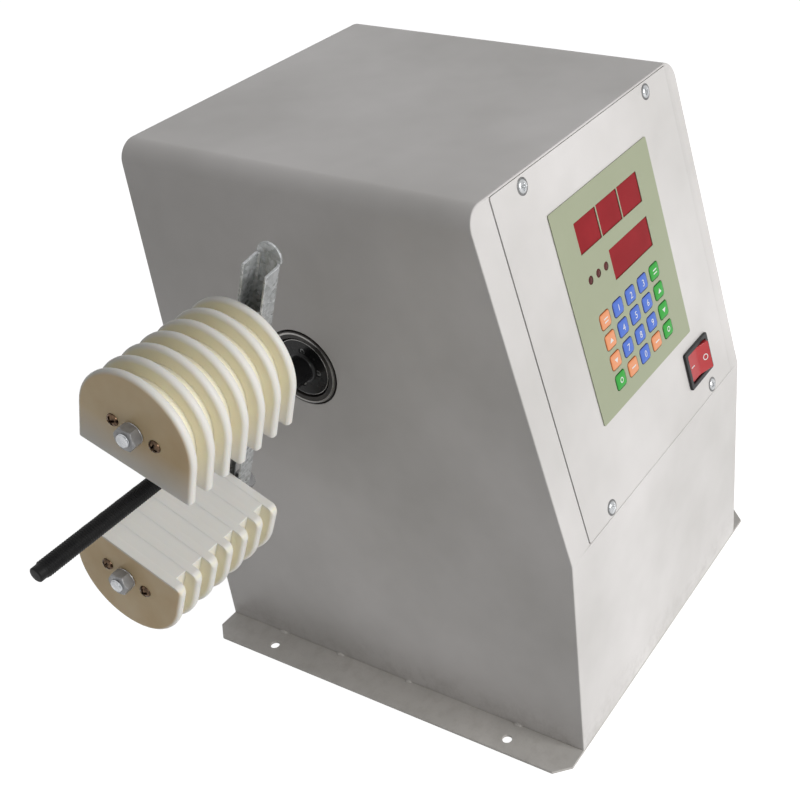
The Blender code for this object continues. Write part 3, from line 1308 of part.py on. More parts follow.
def main():
    clear_scene()
    make_base_plate()
    make_cover()
    make_rear_panel()

    face = frame("panel_face", (SIDE_X, FRONT_Y + TOP_SETBACK, TOP_Z), SLOPE_ANGLE)
    make_control_panel(face)
    make_keypad_overlay(face)
    make_display_filter(face)
    make_display_board(face)
    make_keys(face)
    make_switch_bezel(face)
    make_switch_rocker(face)

    axis = frame("spindle_axis", (SIDE_X, AXIS_Y, AXIS_Z), HEAD_TURN)
    fixed_axis = frame("block_axis", (SIDE_X, AXIS_Y, AXIS_Z), 0)
    make_bearing_block(fixed_axis)
    make_bearings(fixed_axis)
    make_drive_belt(fixed_axis)
    make_spindle(axis)
    make_spindle_pulley(axis)
    make_head_rail(axis)
    make_centre_rod(axis)

    upper = frame("upper_slide", (0, 0, UPPER_STUD), UPPER_SKEW, axis)
    upper_sizes = (UPPER_HALF_WIDTH, UPPER_STRAIGHT, UPPER_FLAT_DROP, UPPER_CORNER, UPPER_CORNER)
    make_former("upper", upper, upper_sizes)
    lower = frame("lower_slide", (0, 0, -LOWER_STUD), math.pi + LOWER_SKEW, axis)
    lower_sizes = (LOWER_HALF_WIDTH, LOWER_STRAIGHT, LOWER_FLAT_DROP, LOWER_FAR_CORNER,
                   LOWER_NEAR_CORNER)
    make_former("lower", lower, lower_sizes)

    motor_axis = frame("motor_axis", (SIDE_X, AXIS_Y, MOTOR_Z), 0)
    make_motor(motor_axis)
    make_motor_pulley(motor_axis)
    make_motor_bracket()
    make_transformer()
    make_control_board()
    make_power_inlet()
    make_pedal_socket()


main()
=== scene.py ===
import math

import bmesh
import bpy
import numpy as np
from mathutils import Euler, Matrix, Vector
from mathutils.geometry import tessellate_polygon


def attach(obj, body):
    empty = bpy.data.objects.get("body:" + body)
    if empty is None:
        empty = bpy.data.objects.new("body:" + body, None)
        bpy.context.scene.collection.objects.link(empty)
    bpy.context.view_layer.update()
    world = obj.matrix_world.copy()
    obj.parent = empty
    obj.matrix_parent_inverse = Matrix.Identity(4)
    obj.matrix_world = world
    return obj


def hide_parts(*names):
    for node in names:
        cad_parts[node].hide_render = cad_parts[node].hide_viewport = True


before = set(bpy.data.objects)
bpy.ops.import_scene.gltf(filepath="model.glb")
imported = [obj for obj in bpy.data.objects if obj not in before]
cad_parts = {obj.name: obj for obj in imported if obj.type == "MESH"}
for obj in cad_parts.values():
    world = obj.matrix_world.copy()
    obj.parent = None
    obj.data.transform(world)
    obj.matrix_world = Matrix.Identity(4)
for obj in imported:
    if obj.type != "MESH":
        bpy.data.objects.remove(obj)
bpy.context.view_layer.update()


print("frame loaded")

mm = 0.001   # sizes below are in millimetres, as on a drawing


# where things are, in the machine's own coordinates

housing = {
    "width": 250, "depth": 300, "top": 380, "foot": 2.3, "crease": 159,
    "setback": 51, "sheet": 1.5, "topBend": 13, "fold": 0.9, "rearReturn": 14,
}
axle = {"y": 34.3, "z": 251}
headTurn = 20.1
slopeRise = housing["top"] - housing["crease"]
slopeAngle = math.degrees(math.atan2(slopeRise, housing["setback"]))
sideX = -housing["width"] / 2
frontY = -housing["depth"] / 2


def matrixOf(move=(0, 0, 0), turn=(0, 0, 0)):
    # A turn about X, then Y, then Z in degrees, followed by a move in millimetres
    matrix = np.eye(4)
    matrix[:3, :3] = np.array(Euler([math.radians(angle) for angle in turn]).to_matrix())
    matrix[:3, 3] = move
    return matrix


panelFace = matrixOf((sideX, frontY + housing["setback"], housing["top"]), (slopeAngle, 0, 0))
axis = matrixOf((sideX, axle["y"], axle["z"]))
head = axis @ matrixOf(turn=(headTurn, 0, 0))


# outlines, as arrays of two coordinates

def roundedOutline(corners, radii, steps=6):
    # Each corner becomes an arc that touches both of its sides; a radius of 0 leaves it sharp
    corners = np.asarray(corners, float)
    radii = np.broadcast_to(np.asarray(radii, float), len(corners))
    back = np.roll(corners, 1, 0) - corners
    ahead = np.roll(corners, -1, 0) - corners
    back /= np.linalg.norm(back, axis=1, keepdims=True)
    ahead /= np.linalg.norm(ahead, axis=1, keepdims=True)
    half = np.arccos(np.clip((back * ahead).sum(1), -1, 1)) / 2
    middle = back + ahead
    middle /= np.linalg.norm(middle, axis=1, keepdims=True)
    centre = corners + middle * (radii / np.sin(half))[:, None]
    arm = corners + back * (radii / np.tan(half))[:, None] - centre
    side = np.sign(ahead[:, 0] * back[:, 1] - ahead[:, 1] * back[:, 0])
    angle = (side * (np.pi - 2 * half))[:, None] * np.linspace(0, 1, steps + 1)
    x = centre[:, :1] + arm[:, :1] * np.cos(angle) - arm[:, 1:] * np.sin(angle)
    y = centre[:, 1:] + arm[:, :1] * np.sin(angle) + arm[:, 1:] * np.cos(angle)
    points = np.stack([x, y], -1).reshape(-1, 2)
    apart = np.linalg.norm(points - np.roll(points, 1, 0), axis=1) > 1e-6
    return points[apart]


def profileOf(rows, steps):
    # Each row is the place along X, the distance from the axis and the radius of the corner there
    rows = np.array(rows, float)
    return roundedOutline(rows[:, :2], rows[:, 2], steps)


def rectangle(left, right, low, high, radius=0, steps=6):
    # Four corners, each rounded by the same radius
    return roundedOutline([(left, low), (right, low), (right, high), (left, high)], radius, steps)


def centredBox(x, y, halfX, halfY, radius=0, steps=6):
    # The same, from its middle and its half sizes
    return rectangle(x - halfX, x + halfX, y - halfY, y + halfY, radius, steps)


def circle(radius, steps, centre=(0, 0)):
    # Points at equal angles round a centre
    angle = np.arange(steps) * 2 * np.pi / steps
    return np.stack([centre[0] + radius * np.cos(angle), centre[1] + radius * np.sin(angle)], 1)


def slotOutline(halfWidth, low, high, steps=12):
    # Two half circles joined by straight sides, along the second coordinate
    angle = np.linspace(0, np.pi, steps + 1)
    top = np.stack([halfWidth * np.cos(angle), high - halfWidth + halfWidth * np.sin(angle)], 1)
    foot = np.stack([-halfWidth * np.cos(angle), low + halfWidth - halfWidth * np.sin(angle)], 1)
    return np.concatenate([top, foot])


def offsetLoop(loop, distance):
    # Each point moves along the bisector of its two sides, so that both sides shift left by distance
    ahead = np.roll(loop, -1, 0) - loop
    ahead /= np.linalg.norm(ahead, axis=1, keepdims=True)
    normalAhead = np.stack([-ahead[:, 1], ahead[:, 0]], 1)
    normalBack = np.roll(normalAhead, 1, 0)
    bisector = normalAhead + normalBack
    bisector /= np.linalg.norm(bisector, axis=1, keepdims=True)
    return loop + bisector * (distance / (bisector * normalAhead).sum(1))[:, None]


# shapes, each as points and faces

def raised(loop, height):
    # Flat points get a third coordinate: one height for all, or one for each
    return np.column_stack([loop, np.full(len(loop), height)])


def gridShape(points, closeU=False, closeV=False):
    # Neighbouring points of a grid over two parameters are joined by quads
    rows, columns = points.shape[:2]
    index = np.arange(rows * columns).reshape(rows, columns)
    if closeU:
        index = np.concatenate([index, index[:1]], 0)
    if closeV:
        index = np.concatenate([index, index[:, :1]], 1)
    quads = np.stack([index[:-1, :-1], index[1:, :-1], index[1:, 1:], index[:-1, 1:]], -1)
    return points.reshape(-1, 3), quads.reshape(-1, 4).tolist()


def lathe(profile, steps):
    # A closed profile of (place along X, radius) is carried round the X axis
    profile = np.asarray(profile, float)
    angle = np.arange(steps) * 2 * np.pi / steps
    x = np.repeat(profile[:, :1], steps, 1)
    y = profile[:, 1:] * np.cos(angle)
    z = profile[:, 1:] * np.sin(angle)
    return gridShape(np.stack([x, y, z], -1), True, True)


def region(loops, height=None):
    # Triangles over a flat region: the first loop is its outside, the others are holes in it
    flat = [[Vector((point[0], point[1], 0)) for point in loop] for loop in loops]
    points = np.concatenate(loops)
    if height is not None:
        points = raised(points, height)
    return points, [list(face) for face in tessellate_polygon(flat)]


def joined(shapes):
    # One shape after the other; each face's corner numbers are moved on by the points before
    points = []
    faces = []
    start = 0
    for own, ownFaces in shapes:
        points.append(np.asarray(own, float))
        faces += [[corner + start for corner in face] for face in ownFaces]
        start += len(own)
    return np.concatenate(points), faces


def closed(stacks):
    # Each stack of loops is a wall; one flat region closes all first loops and one all last loops
    walls = [gridShape(stack, closeV=True) for stack in stacks]
    return joined(walls + [region([stack[end] for stack in stacks]) for end in (0, -1)])


def edgeRings(low, high, edge, steps):
    # Inset and height of each ring from the bottom face round both edges to the top face
    if edge == 0:
        return [(0, low), (0, high)]
    angle = np.linspace(0, np.pi / 2, steps + 1)
    foot = np.stack([edge * (1 - np.sin(angle)), low + edge * (1 - np.cos(angle))], 1)
    top = np.stack([edge * (1 - np.cos(angle)), high - edge * (1 - np.sin(angle))], 1)
    return np.concatenate([foot, top])


def plate(outline, holes, low, high, edge=0.0, holeEdge=0.0, steps=3):
    # A sheet between two heights, with rounded edges round its outside and round each hole
    stacks = []
    for number, loop in enumerate([outline] + [hole[::-1] for hole in holes]):
        rings = edgeRings(low, high, holeEdge if number else edge, steps)
        stacks.append(np.stack([raised(offsetLoop(loop, inset), height) for inset, height in rings]))
    return closed(stacks)


def stacked(rings, holes=()):
    # Outlines of equal length at their heights, joined up and closed; holes run straight through
    stacks = [np.stack([raised(loop, height) for height, loop in rings])]
    for hole in holes:
        stacks.append(np.stack([raised(hole, height) for height in (rings[0][0], rings[-1][0])]))
    return closed(stacks)


def moved(points, matrix):
    # Points turned by the matrix, then shifted
    return points @ matrix[:3, :3].T + matrix[:3, 3]


def put(shape, matrix):
    return moved(shape[0], matrix), shape[1]


def alongX(shape):
    # Turns a shape drawn in (y, z, x) so that its height runs along X
    return shape[0][:, [2, 0, 1]], shape[1]


def alongY(shape):
    return shape[0][:, [0, 2, 1]], shape[1]


def placed(shapes, matrix, number=0):
    # Parts of a piece: shapes at their place, with the number of their finish
    return [(put(shape, matrix), number) for shape in shapes]


def meshPoints(mesh):
    points = np.zeros(len(mesh.vertices) * 3)
    mesh.vertices.foreach_get("co", points)
    return points.reshape(-1, 3)


def drawnPoints(piece, seat):
    # A piece's points in millimetres, in the coordinates in which its shape was drawn
    return moved(meshPoints(piece.data) / mm, np.linalg.inv(seat))


def setPointValues(piece, name, values):
    attribute = piece.data.attributes.new(name, "FLOAT", "POINT")
    attribute.data.foreach_set("value", values.astype(np.float32))


def weightNormals(piece):
    piece.modifiers.new("normals", "WEIGHTED_NORMAL").keep_sharp = True


def makePiece(name, parts, finishes, body, nodes=(), smooth=30, weighted=True):
    # Parts are shapes with the number of their finish; they are merged and turned outwards
    points, faces = joined([shape for shape, number in parts])
    numbers = np.concatenate([np.full(len(shape[1]), number) for shape, number in parts])
    mesh = bpy.data.meshes.new(name)
    mesh.from_pydata((points * mm).tolist(), [], faces)
    mesh.polygons.foreach_set("material_index", numbers.astype(np.int32))
    for finish in finishes:
        mesh.materials.append(materials[finish])
    merge = bmesh.new()
    merge.from_mesh(mesh)
    bmesh.ops.remove_doubles(merge, verts=merge.verts, dist=1e-6)
    bmesh.ops.dissolve_degenerate(merge, edges=merge.edges, dist=1e-7)
    bmesh.ops.recalc_face_normals(merge, faces=merge.faces)
    merge.to_mesh(mesh)
    merge.free()
    mesh.shade_smooth()
    mesh.set_sharp_from_angle(angle=math.radians(smooth))
    piece = bpy.data.objects.new(name, mesh)
    bpy.context.scene.collection.objects.link(piece)
    if weighted:
        weightNormals(piece)
    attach(piece, body)
    if nodes:
        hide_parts(*nodes)
    return piece


# materials

def node(tree, kind, inputs, **values):
    # A new node with its settings; each input gets a number, a colour or the socket that feeds it
    made = tree.nodes.new(kind)
    for key, value in values.items():
        setattr(made, key, value)
    for key, value in inputs.items():
        if isinstance(value, bpy.types.NodeSocket):
            tree.links.new(value, made.inputs[key])
        else:
            made.inputs[key].default_value = value
    return made


def noise(tree, place, scale, detail, roughness=0.55):
    inputs = {"Scale": scale, "Detail": detail, "Roughness": roughness, "Vector": place}
    return node(tree, "ShaderNodeTexNoise", inputs).outputs["Fac"]


def mapped(tree, value, fromLow, fromHigh, toLow, toHigh):
    inputs = {"Value": value, "From Min": fromLow, "From Max": fromHigh, "To Min": toLow, "To Max": toHigh}
    return node(tree, "ShaderNodeMapRange", inputs).outputs["Result"]


def blended(tree, share, first, second):
    # Two colours, or sockets that give one, mixed by a share from 0 to 1
    first, second = [(*colour, 1) if isinstance(colour, tuple) else colour for colour in (first, second)]
    return node(tree, "ShaderNodeMix", {0: share, 6: first, 7: second}, data_type="RGBA").outputs[2]


def bump(tree, height, depth, strength, before=None):
    inputs = {"Strength": strength, "Distance": depth * mm, "Height": height}
    if before:
        inputs["Normal"] = before
    return node(tree, "ShaderNodeBump", inputs).outputs["Normal"]


def combinedMath(tree, operation, first, second):
    return node(tree, "ShaderNodeMath", {0: first, 1: second}, operation=operation).outputs[0]


def pointValue(tree, name):
    return node(tree, "ShaderNodeAttribute", {}, attribute_name=name).outputs["Fac"]


# details that a finish adds to its base; made holds what goes into the shader's own sockets

def paintDetail(tree, place, made, look):
    # Powder coat: orange peel over slow waves of the sheet, with dust that gathers near the foot
    waves = noise(tree, place, look["waveScale"], 2)
    made["Normal"] = bump(tree, waves, look["waveDepth"], 0.5, made["Normal"])
    height = node(tree, "ShaderNodeSeparateXYZ", {0: place}).outputs["Z"]
    low = mapped(tree, height, 0.0, look["dustHeight"], 1, 0)
    specks = mapped(tree, noise(tree, place, look["dustScale"], 6, 0.7), 0.45, 0.75, 0, 1)
    dust = combinedMath(tree, "MULTIPLY", combinedMath(tree, "MULTIPLY", low, specks), look["dustShare"])
    made["Base Color"] = blended(tree, dust, made["Base Color"], look["dust"])


def spangleDetail(tree, place, made, look):
    # Galvanised steel: each cell of a Voronoi pattern has its own brightness and gloss
    cells = node(tree, "ShaderNodeTexVoronoi", {"Scale": look["cellScale"], "Vector": place})
    shade, gloss, height = node(tree, "ShaderNodeSeparateColor", {0: cells.outputs["Color"]}).outputs
    share = mapped(tree, shade, 0, 1, 0, look["cellShare"])
    made["Base Color"] = blended(tree, share, made["Base Color"], look["cellColour"])
    made["Roughness"] = mapped(tree, gloss, 0, 1, *look["rough"])
    made["Normal"] = bump(tree, height, look["cellDepth"], 0.5, made["Normal"])


def turnedDetail(tree, place, made, look):
    # Turned metal: fine rings about the spindle's axis, from the distance to that axis
    toAxis = {"Location": (0, -axle["y"] * mm, -axle["z"] * mm), "Vector": place}
    centred = node(tree, "ShaderNodeMapping", toAxis).outputs["Vector"]
    inputs = {"Scale": look["ringScale"], "Distortion": 1.5, "Detail": 2, "Vector": centred}
    rings = node(tree, "ShaderNodeTexWave", inputs, wave_type="RINGS", rings_direction="X").outputs["Fac"]
    made["Normal"] = bump(tree, rings, look["ringDepth"], 0.4, made["Normal"])


def stripedDetail(tree, place, made, look):
    # Bands across one direction, as on a winding or a belt's cloth
    inputs = {"Scale": look["bandScale"], "Distortion": 0.4, "Detail": 1, "Vector": place}
    bands = node(tree, "ShaderNodeTexWave", inputs, wave_type="BANDS", bands_direction=look["across"])
    share = mapped(tree, bands.outputs["Fac"], 0.35, 0.65, 0, look["bandShare"])
    made["Base Color"] = blended(tree, share, made["Base Color"], look["bandColour"])
    made["Normal"] = bump(tree, bands.outputs["Fac"], look["bandDepth"], 0.5, made["Normal"])


def boardDetail(tree, place, made, look):
    # Circuit board: copper tracks under the mask follow the sides of square cells
    inputs = {"Scale": look["cellScale"], "Randomness": 0.35, "Vector": place}
    cells = node(tree, "ShaderNodeTexVoronoi", inputs, feature="DISTANCE_TO_EDGE")
    track = mapped(tree, cells.outputs["Distance"], 0.06, 0.1, 1, 0)
    made["Base Color"] = blended(tree, track, made["Base Color"], look["trackColour"])
    made["Normal"] = bump(tree, track, 0.04, 0.4, made["Normal"])


def keyDetail(tree, place, made, look):
    # A key: its rim attribute runs from 0 at the foot to 1 at the crown; the dark foot is painted shade and
    # the lighter crown a painted highlight
    rim = pointValue(tree, "rim")
    crown = blended(tree, mapped(tree, rim, 0.35, 1, 0, 0.9), made["Base Color"], look["crown"])
    made["Base Color"] = blended(tree, mapped(tree, rim, 0.1, 0.3, 1, 0), crown, look["outline"])


def nylonDetail(tree, place, made, look):
    # Moulded nylon: tan painted shade on the outer face, cream behind it, painted highlight on rims and flat
    # side
    for name in ("cream", "paintedRimHighlight"):
        made["Base Color"] = blended(tree, pointValue(tree, name), made["Base Color"], look[name])


shaderNames = {
    "metal": "Metallic", "specular": "Specular IOR Level", "soft": "Subsurface Weight",
    "softRadius": "Subsurface Radius", "softScale": "Subsurface Scale",
}


def makeMaterial(name, look):
    # A broad noise shifts between two colours and in roughness, and a fine one is the grain, given as
    # scale, depth and strength. Scales are per metre, depths in millimetres
    material = bpy.data.materials.new(name)
    material.use_nodes = True
    tree = material.node_tree
    place = node(tree, "ShaderNodeTexCoord", {}).outputs["Object"]
    patches = noise(tree, place, look["patchScale"], 4)
    scale, depth, strength = look["grain"]
    made = {
        "Base Color": blended(tree, mapped(tree, patches, 0.35, 0.65, 0, 1), *look["colours"]),
        "Roughness": mapped(tree, patches, 0.3, 0.7, *look["rough"]),
        "Normal": bump(tree, noise(tree, place, scale, 3), depth, strength),
    }
    if "detail" in look:
        look["detail"](tree, place, made, look)
    shader = tree.nodes["Principled BSDF"]
    for socket, value in made.items():
        tree.links.new(value, shader.inputs[socket])
    for setting, socket in shaderNames.items():
        if setting in look:
            shader.inputs[socket].default_value = look[setting]
    return material


looks = {
    "housingPaint": {"detail": paintDetail, "colours": ((0.76, 0.735, 0.72), (0.63, 0.61, 0.59)),
        "rough": (0.34, 0.44), "patchScale": 7, "grain": (650, 0.05, 0.12), "waveScale": 7,
        "waveDepth": 1.2, "dust": (0.34, 0.31, 0.28), "dustHeight": 0.03, "dustScale": 90,
        "dustShare": 0.5, "specular": 0.3},
    "basePaint": {"detail": paintDetail, "colours": ((0.64, 0.615, 0.585), (0.58, 0.56, 0.53)),
        "rough": (0.32, 0.46), "patchScale": 22, "grain": (650, 0.05, 0.15), "waveScale": 12,
        "waveDepth": 0.8, "dust": (0.32, 0.29, 0.26), "dustHeight": 0.01, "dustScale": 120,
        "dustShare": 0.35, "specular": 0.35},
    "overlayFilm": {"colours": ((0.375, 0.405, 0.275), (0.36, 0.39, 0.262)), "rough": (0.34, 0.42),
        "patchScale": 14, "grain": (2600, 0.03, 0.25), "specular": 0.3},
    "redFilter": {"colours": ((0.32, 0.014, 0.02), (0.28, 0.012, 0.017)), "rough": (0.16, 0.24),
        "patchScale": 60, "grain": (900, 0.01, 0.1), "specular": 0.06},
    "lampRed": {"colours": ((0.12, 0.018, 0.016), (0.085, 0.015, 0.014)), "rough": (0.2, 0.3),
        "patchScale": 200, "grain": (900, 0.01, 0.1), "specular": 0.15},
    "circuitBoard": {"detail": boardDetail, "colours": ((0.02, 0.13, 0.05), (0.025, 0.15, 0.06)),
        "rough": (0.3, 0.42), "patchScale": 40, "grain": (1200, 0.05, 0.2), "cellScale": 210,
        "trackColour": (0.06, 0.26, 0.09)},
    "blackPlastic": {"colours": ((0.012, 0.012, 0.013), (0.017, 0.017, 0.018)), "rough": (0.34, 0.46),
        "patchScale": 50, "grain": (2200, 0.04, 0.25), "specular": 0.3},
    "rockerRed": {"colours": ((0.52, 0.03, 0.035), (0.47, 0.025, 0.03)), "rough": (0.16, 0.24),
        "patchScale": 70, "grain": (700, 0.015, 0.15), "specular": 0.4, "soft": 0.15,
        "softRadius": (0.003, 0.0006, 0.0005), "softScale": 1},
    "motorEnamel": {"colours": ((0.07, 0.075, 0.08), (0.055, 0.06, 0.065)), "rough": (0.4, 0.55),
        "patchScale": 30, "grain": (420, 0.2, 0.4), "metal": 0.2},
    "blockIron": {"detail": turnedDetail, "colours": ((0.055, 0.048, 0.043), (0.032, 0.029, 0.027)),
        "rough": (0.3, 0.44), "patchScale": 80, "grain": (900, 0.03, 0.2), "specular": 0.25,
        "ringScale": 900, "ringDepth": 0.02},
    "steel": {"detail": turnedDetail, "colours": ((0.58, 0.58, 0.57), (0.52, 0.52, 0.52)),
        "rough": (0.22, 0.34), "patchScale": 60, "grain": (1600, 0.02, 0.2), "metal": 1,
        "ringScale": 1200, "ringDepth": 0.015},
    "beltRubber": {"detail": stripedDetail, "colours": ((0.018, 0.018, 0.018), (0.028, 0.027, 0.026)),
        "rough": (0.6, 0.8), "patchScale": 60, "grain": (1600, 0.08, 0.2), "across": "DIAGONAL",
        "bandScale": 420, "bandShare": 0.4, "bandColour": (0.04, 0.04, 0.04), "bandDepth": 0.08},
    "copperWinding": {"detail": stripedDetail, "colours": ((0.42, 0.15, 0.06), (0.34, 0.11, 0.045)),
        "rough": (0.3, 0.45), "patchScale": 50, "grain": (900, 0.04, 0.2), "metal": 0.7, "across": "Z",
        "bandScale": 320, "bandShare": 0.6, "bandColour": (0.16, 0.05, 0.02), "bandDepth": 0.2},
    "blackSteel": {"detail": turnedDetail, "colours": ((0.008, 0.008, 0.0085), (0.013, 0.013, 0.0135)),
        "rough": (0.18, 0.3), "patchScale": 70, "grain": (1300, 0.02, 0.2), "ringScale": 700,
        "ringDepth": 0.015, "specular": 0.2},
    "rodBlack": {"colours": ((0.006, 0.006, 0.0065), (0.012, 0.012, 0.012)), "rough": (0.36, 0.54),
        "patchScale": 140, "grain": (1800, 0.03, 0.3), "specular": 0.15},
    "castAluminium": {"detail": turnedDetail, "colours": ((0.60, 0.61, 0.62), (0.52, 0.53, 0.54)),
        "rough": (0.3, 0.45), "patchScale": 60, "grain": (700, 0.08, 0.2), "metal": 1, "ringScale": 800,
        "ringDepth": 0.02},
    "galvanised": {"detail": spangleDetail, "colours": ((0.41, 0.425, 0.42), (0.33, 0.345, 0.34)),
        "rough": (0.24, 0.5), "patchScale": 90, "grain": (1500, 0.03, 0.2), "metal": 0.35,
        "cellScale": 480, "cellShare": 0.7, "cellColour": (0.72, 0.73, 0.75), "cellDepth": 0.17},
    "zincPlate": {"colours": ((0.62, 0.63, 0.65), (0.46, 0.48, 0.50)), "rough": (0.2, 0.36),
        "patchScale": 260, "grain": (2500, 0.03, 0.2), "metal": 0.7},
    "nutSteel": {"colours": ((0.36, 0.36, 0.365), (0.25, 0.25, 0.255)), "rough": (0.26, 0.4),
        "patchScale": 200, "grain": (2500, 0.03, 0.2), "metal": 0.3, "specular": 0.3},
    "screwBronze": {"colours": ((0.14, 0.088, 0.055), (0.06, 0.042, 0.03)), "rough": (0.2, 0.38),
        "patchScale": 420, "grain": (2500, 0.03, 0.2), "metal": 1},
    "steelDark": {"colours": ((0.22, 0.22, 0.22), (0.13, 0.13, 0.13)), "rough": (0.3, 0.45),
        "patchScale": 300, "grain": (2200, 0.02, 0.2), "metal": 0.5},
    # bare steel at machined edges, made brighter than the parts round it as a painted glint along them
    "edgeGlint": {"colours": ((0.30, 0.29, 0.28), (0.22, 0.215, 0.21)), "rough": (0.2, 0.32),
        "patchScale": 120, "grain": (1800, 0.02, 0.2), "metal": 1},
    "chrome": {"colours": ((0.58, 0.59, 0.60), (0.40, 0.41, 0.42)), "rough": (0.12, 0.24),
        "patchScale": 300, "grain": (2500, 0.02, 0.2), "metal": 1},
    # the tan colours are painted shade on the outer face, cream is the nylon behind it, and the rim colour
    # is a painted highlight
    "formerNylon": {"detail": nylonDetail, "colours": ((0.81, 0.64, 0.395), (0.75, 0.56, 0.32)),
        "rough": (0.4, 0.54), "patchScale": 32, "grain": (480, 0.08, 0.25), "soft": 0.2, "specular": 0.35,
        "softRadius": (0.004, 0.003, 0.002), "softScale": 1, "cream": (0.95, 0.90, 0.73),
        "paintedRimHighlight": (0.86, 0.84, 0.79)},
    # each key's crown colour is a painted highlight and its outline colour is painted shade at the foot
    "keyBlue": {"detail": keyDetail, "colours": ((0.10, 0.18, 0.62), (0.11, 0.195, 0.65)),
        "rough": (0.16, 0.24), "patchScale": 25, "grain": (1500, 0.01, 0.2), "crown": (0.11, 0.21, 0.67),
        "outline": (0.035, 0.05, 0.22), "specular": 0.07},
    "keyGreen": {"detail": keyDetail, "colours": ((0.05, 0.36, 0.06), (0.06, 0.38, 0.07)),
        "rough": (0.16, 0.24), "patchScale": 25, "grain": (1500, 0.01, 0.2), "crown": (0.06, 0.42, 0.07),
        "outline": (0.015, 0.12, 0.02), "specular": 0.07},
    "keyOrange": {"detail": keyDetail, "colours": ((0.82, 0.30, 0.13), (0.84, 0.32, 0.14)),
        "rough": (0.16, 0.24), "patchScale": 25, "grain": (1500, 0.01, 0.2), "crown": (0.86, 0.38, 0.21),
        "outline": (0.38, 0.10, 0.03), "specular": 0.07},
    "keyInk": {"colours": ((0.80, 0.80, 0.78), (0.74, 0.74, 0.72)), "rough": (0.3, 0.4), "patchScale": 25,
        "grain": (2500, 0.01, 0.2)},
}
materials = {name: makeMaterial(name, look) for name, look in looks.items()}
print("materials made:", len(materials))


# housing: one folded sheet from the front strips over the long bends to the rear return

def foldCurve(before, corner, after, steps=8):
    # A bend as a curve that leaves one face, heads for the corner and meets the other face
    t = np.linspace(0, 1, steps + 1)[None, :, None]
    return (1 - t) ** 2 * before[:, None] + 2 * t * (1 - t) * corner[:, None] + t ** 2 * after[:, None]


def makeHousing(look):
    # The sheet's course across the machine: up one side, over both long bends, down the other side
    fold, bend, half = look["fold"], look["topBend"], -sideX
    angle = np.linspace(0, np.pi / 2, look["bendSteps"] + 1)
    arcX = -half + bend * (1 - np.cos(angle))
    arcZ = look["top"] - bend + bend * np.sin(angle)
    x = np.concatenate([[-half, -half], arcX, -arcX[::-1], [half, half]])
    z = np.concatenate([[look["foot"], look["crease"]], arcZ, arcZ[::-1], [look["crease"], look["foot"]]])
    arcNormal = np.stack([-np.cos(angle), np.sin(angle)], 1)
    side = np.array([[-1.0, 0], [-1, 0]])
    normal = np.concatenate([side, arcNormal, (arcNormal * [-1, 1])[::-1], -side])

    # the front edge is upright below the crease and slopes back above it
    lean = look["setback"] / slopeRise
    edge = np.stack([x, frontY + np.maximum(z - look["crease"], 0) * lean, z], 1)
    inward = -np.stack([normal[:, 0], normal[:, 1] * lean * (z > look["crease"]), normal[:, 1]], 1)
    frontRows = foldCurve(edge + inward * fold, edge, edge + [0, fold, 0])
    rear = np.stack([x, np.full(len(x), -frontY), z], 1)
    rearIn = -np.stack([normal[:, 0], np.zeros(len(x)), normal[:, 1]], 1)
    rearRows = foldCurve(rear - [0, fold, 0], rear, rear + rearIn * fold)
    reach, reachZ = half - look["rearReturn"], look["top"] - look["rearReturn"]
    inner = np.stack([np.clip(x, -reach, reach), rear[:, 1], np.minimum(z, reachZ)], 1)

    # the tube between the folds, without its two flat sides, which are made as flat regions
    body = np.stack([frontRows[:, -1], rearRows[:, 0]], 1)
    shapes = [gridShape(frontRows), gridShape(rearRows), gridShape(np.stack([rearRows[:, -1], inner], 1)),
              gridShape(body[2:-2])]
    nose = circle(look["noseHole"], 96, (axle["y"], axle["z"]))
    for rows, holes in (((0, 1, 2), [nose[::-1]]), ((-1, -2, -3), [])):
        foot, crease, bent = [body[row] for row in rows]
        outline = np.stack([foot[0], foot[1], bent[1], bent[0], crease[0]])
        shapes.append(alongX(region([outline[:, 1:]] + holes, outline[0, 0])))

    # front faces: the upright one, and the sloping one with the opening for the panel
    face = frontRows[:, 0]
    shapes.append((face[[0, 1, -2, -1]], [[0, 1, 2, 3]]))
    slope = moved(face[1:-1], np.linalg.inv(panelFace))[:, :2]
    pocket = rectangle(*look["pocket"], look["pocketCorner"])
    shapes.append(put(region([slope, pocket[::-1]], 0), panelFace))
    shell = makePiece("housingShell", [(joined(shapes), 0)], ["housingPaint"], "housing", ["cover"],
                      smooth=11, weighted=False)
    thickness = shell.modifiers.new("sheet", "SOLIDIFY")
    thickness.thickness = look["sheet"] * mm
    thickness.offset = -1
    thickness.use_even_offset = True
    weightNormals(shell)

    # a ledge under the panel's edges in dark enamel, as painted shade seen through the seam
    hole = rectangle(*look["seamLedgeHole"], 1)
    seamLedge = plate(rectangle(*look["seamLedge"], 1), [hole], *look["seamLedgeHeights"])
    makePiece("panelSeamLedge", placed([seamLedge], panelFace), ["motorEnamel"], "housing")


makeHousing({
    **housing, "bendSteps": 18, "noseHole": 26.4, "pocket": (21.9, 237.8, -225.9, -1.0),
    "pocketCorner": 1.8, "seamLedge": (18.9, 240.8, -228.4, -1.1),
    "seamLedgeHole": (34.2, 225.5, -213.6, -13.3), "seamLedgeHeights": (-3.8, -2.3),
})


# base plate with its bolt holes and the tack welds that hold the housing

def weldBead(centre, long, look):
    # A flattened half ellipsoid with ripples along its length, closed below
    u = np.linspace(0, np.pi / 2, 7)[:, None]
    v = np.arange(20) * 2 * np.pi / 20
    ripple = 1 + look["ripple"] * np.sin(5 * v)
    x = centre[0] + look["radius"] * np.cos(u) * np.cos(v) * ripple
    y = centre[1] + long / 2 * np.cos(u) * np.sin(v)
    z = centre[2] - look["sunk"] + look["radius"] * np.sin(u) * np.ones_like(v)
    cap = np.stack([x, y, z], -1)
    middle = np.repeat(cap[:1].mean(1, keepdims=True), 20, 1)
    return gridShape(np.concatenate([middle, cap]), closeV=True)


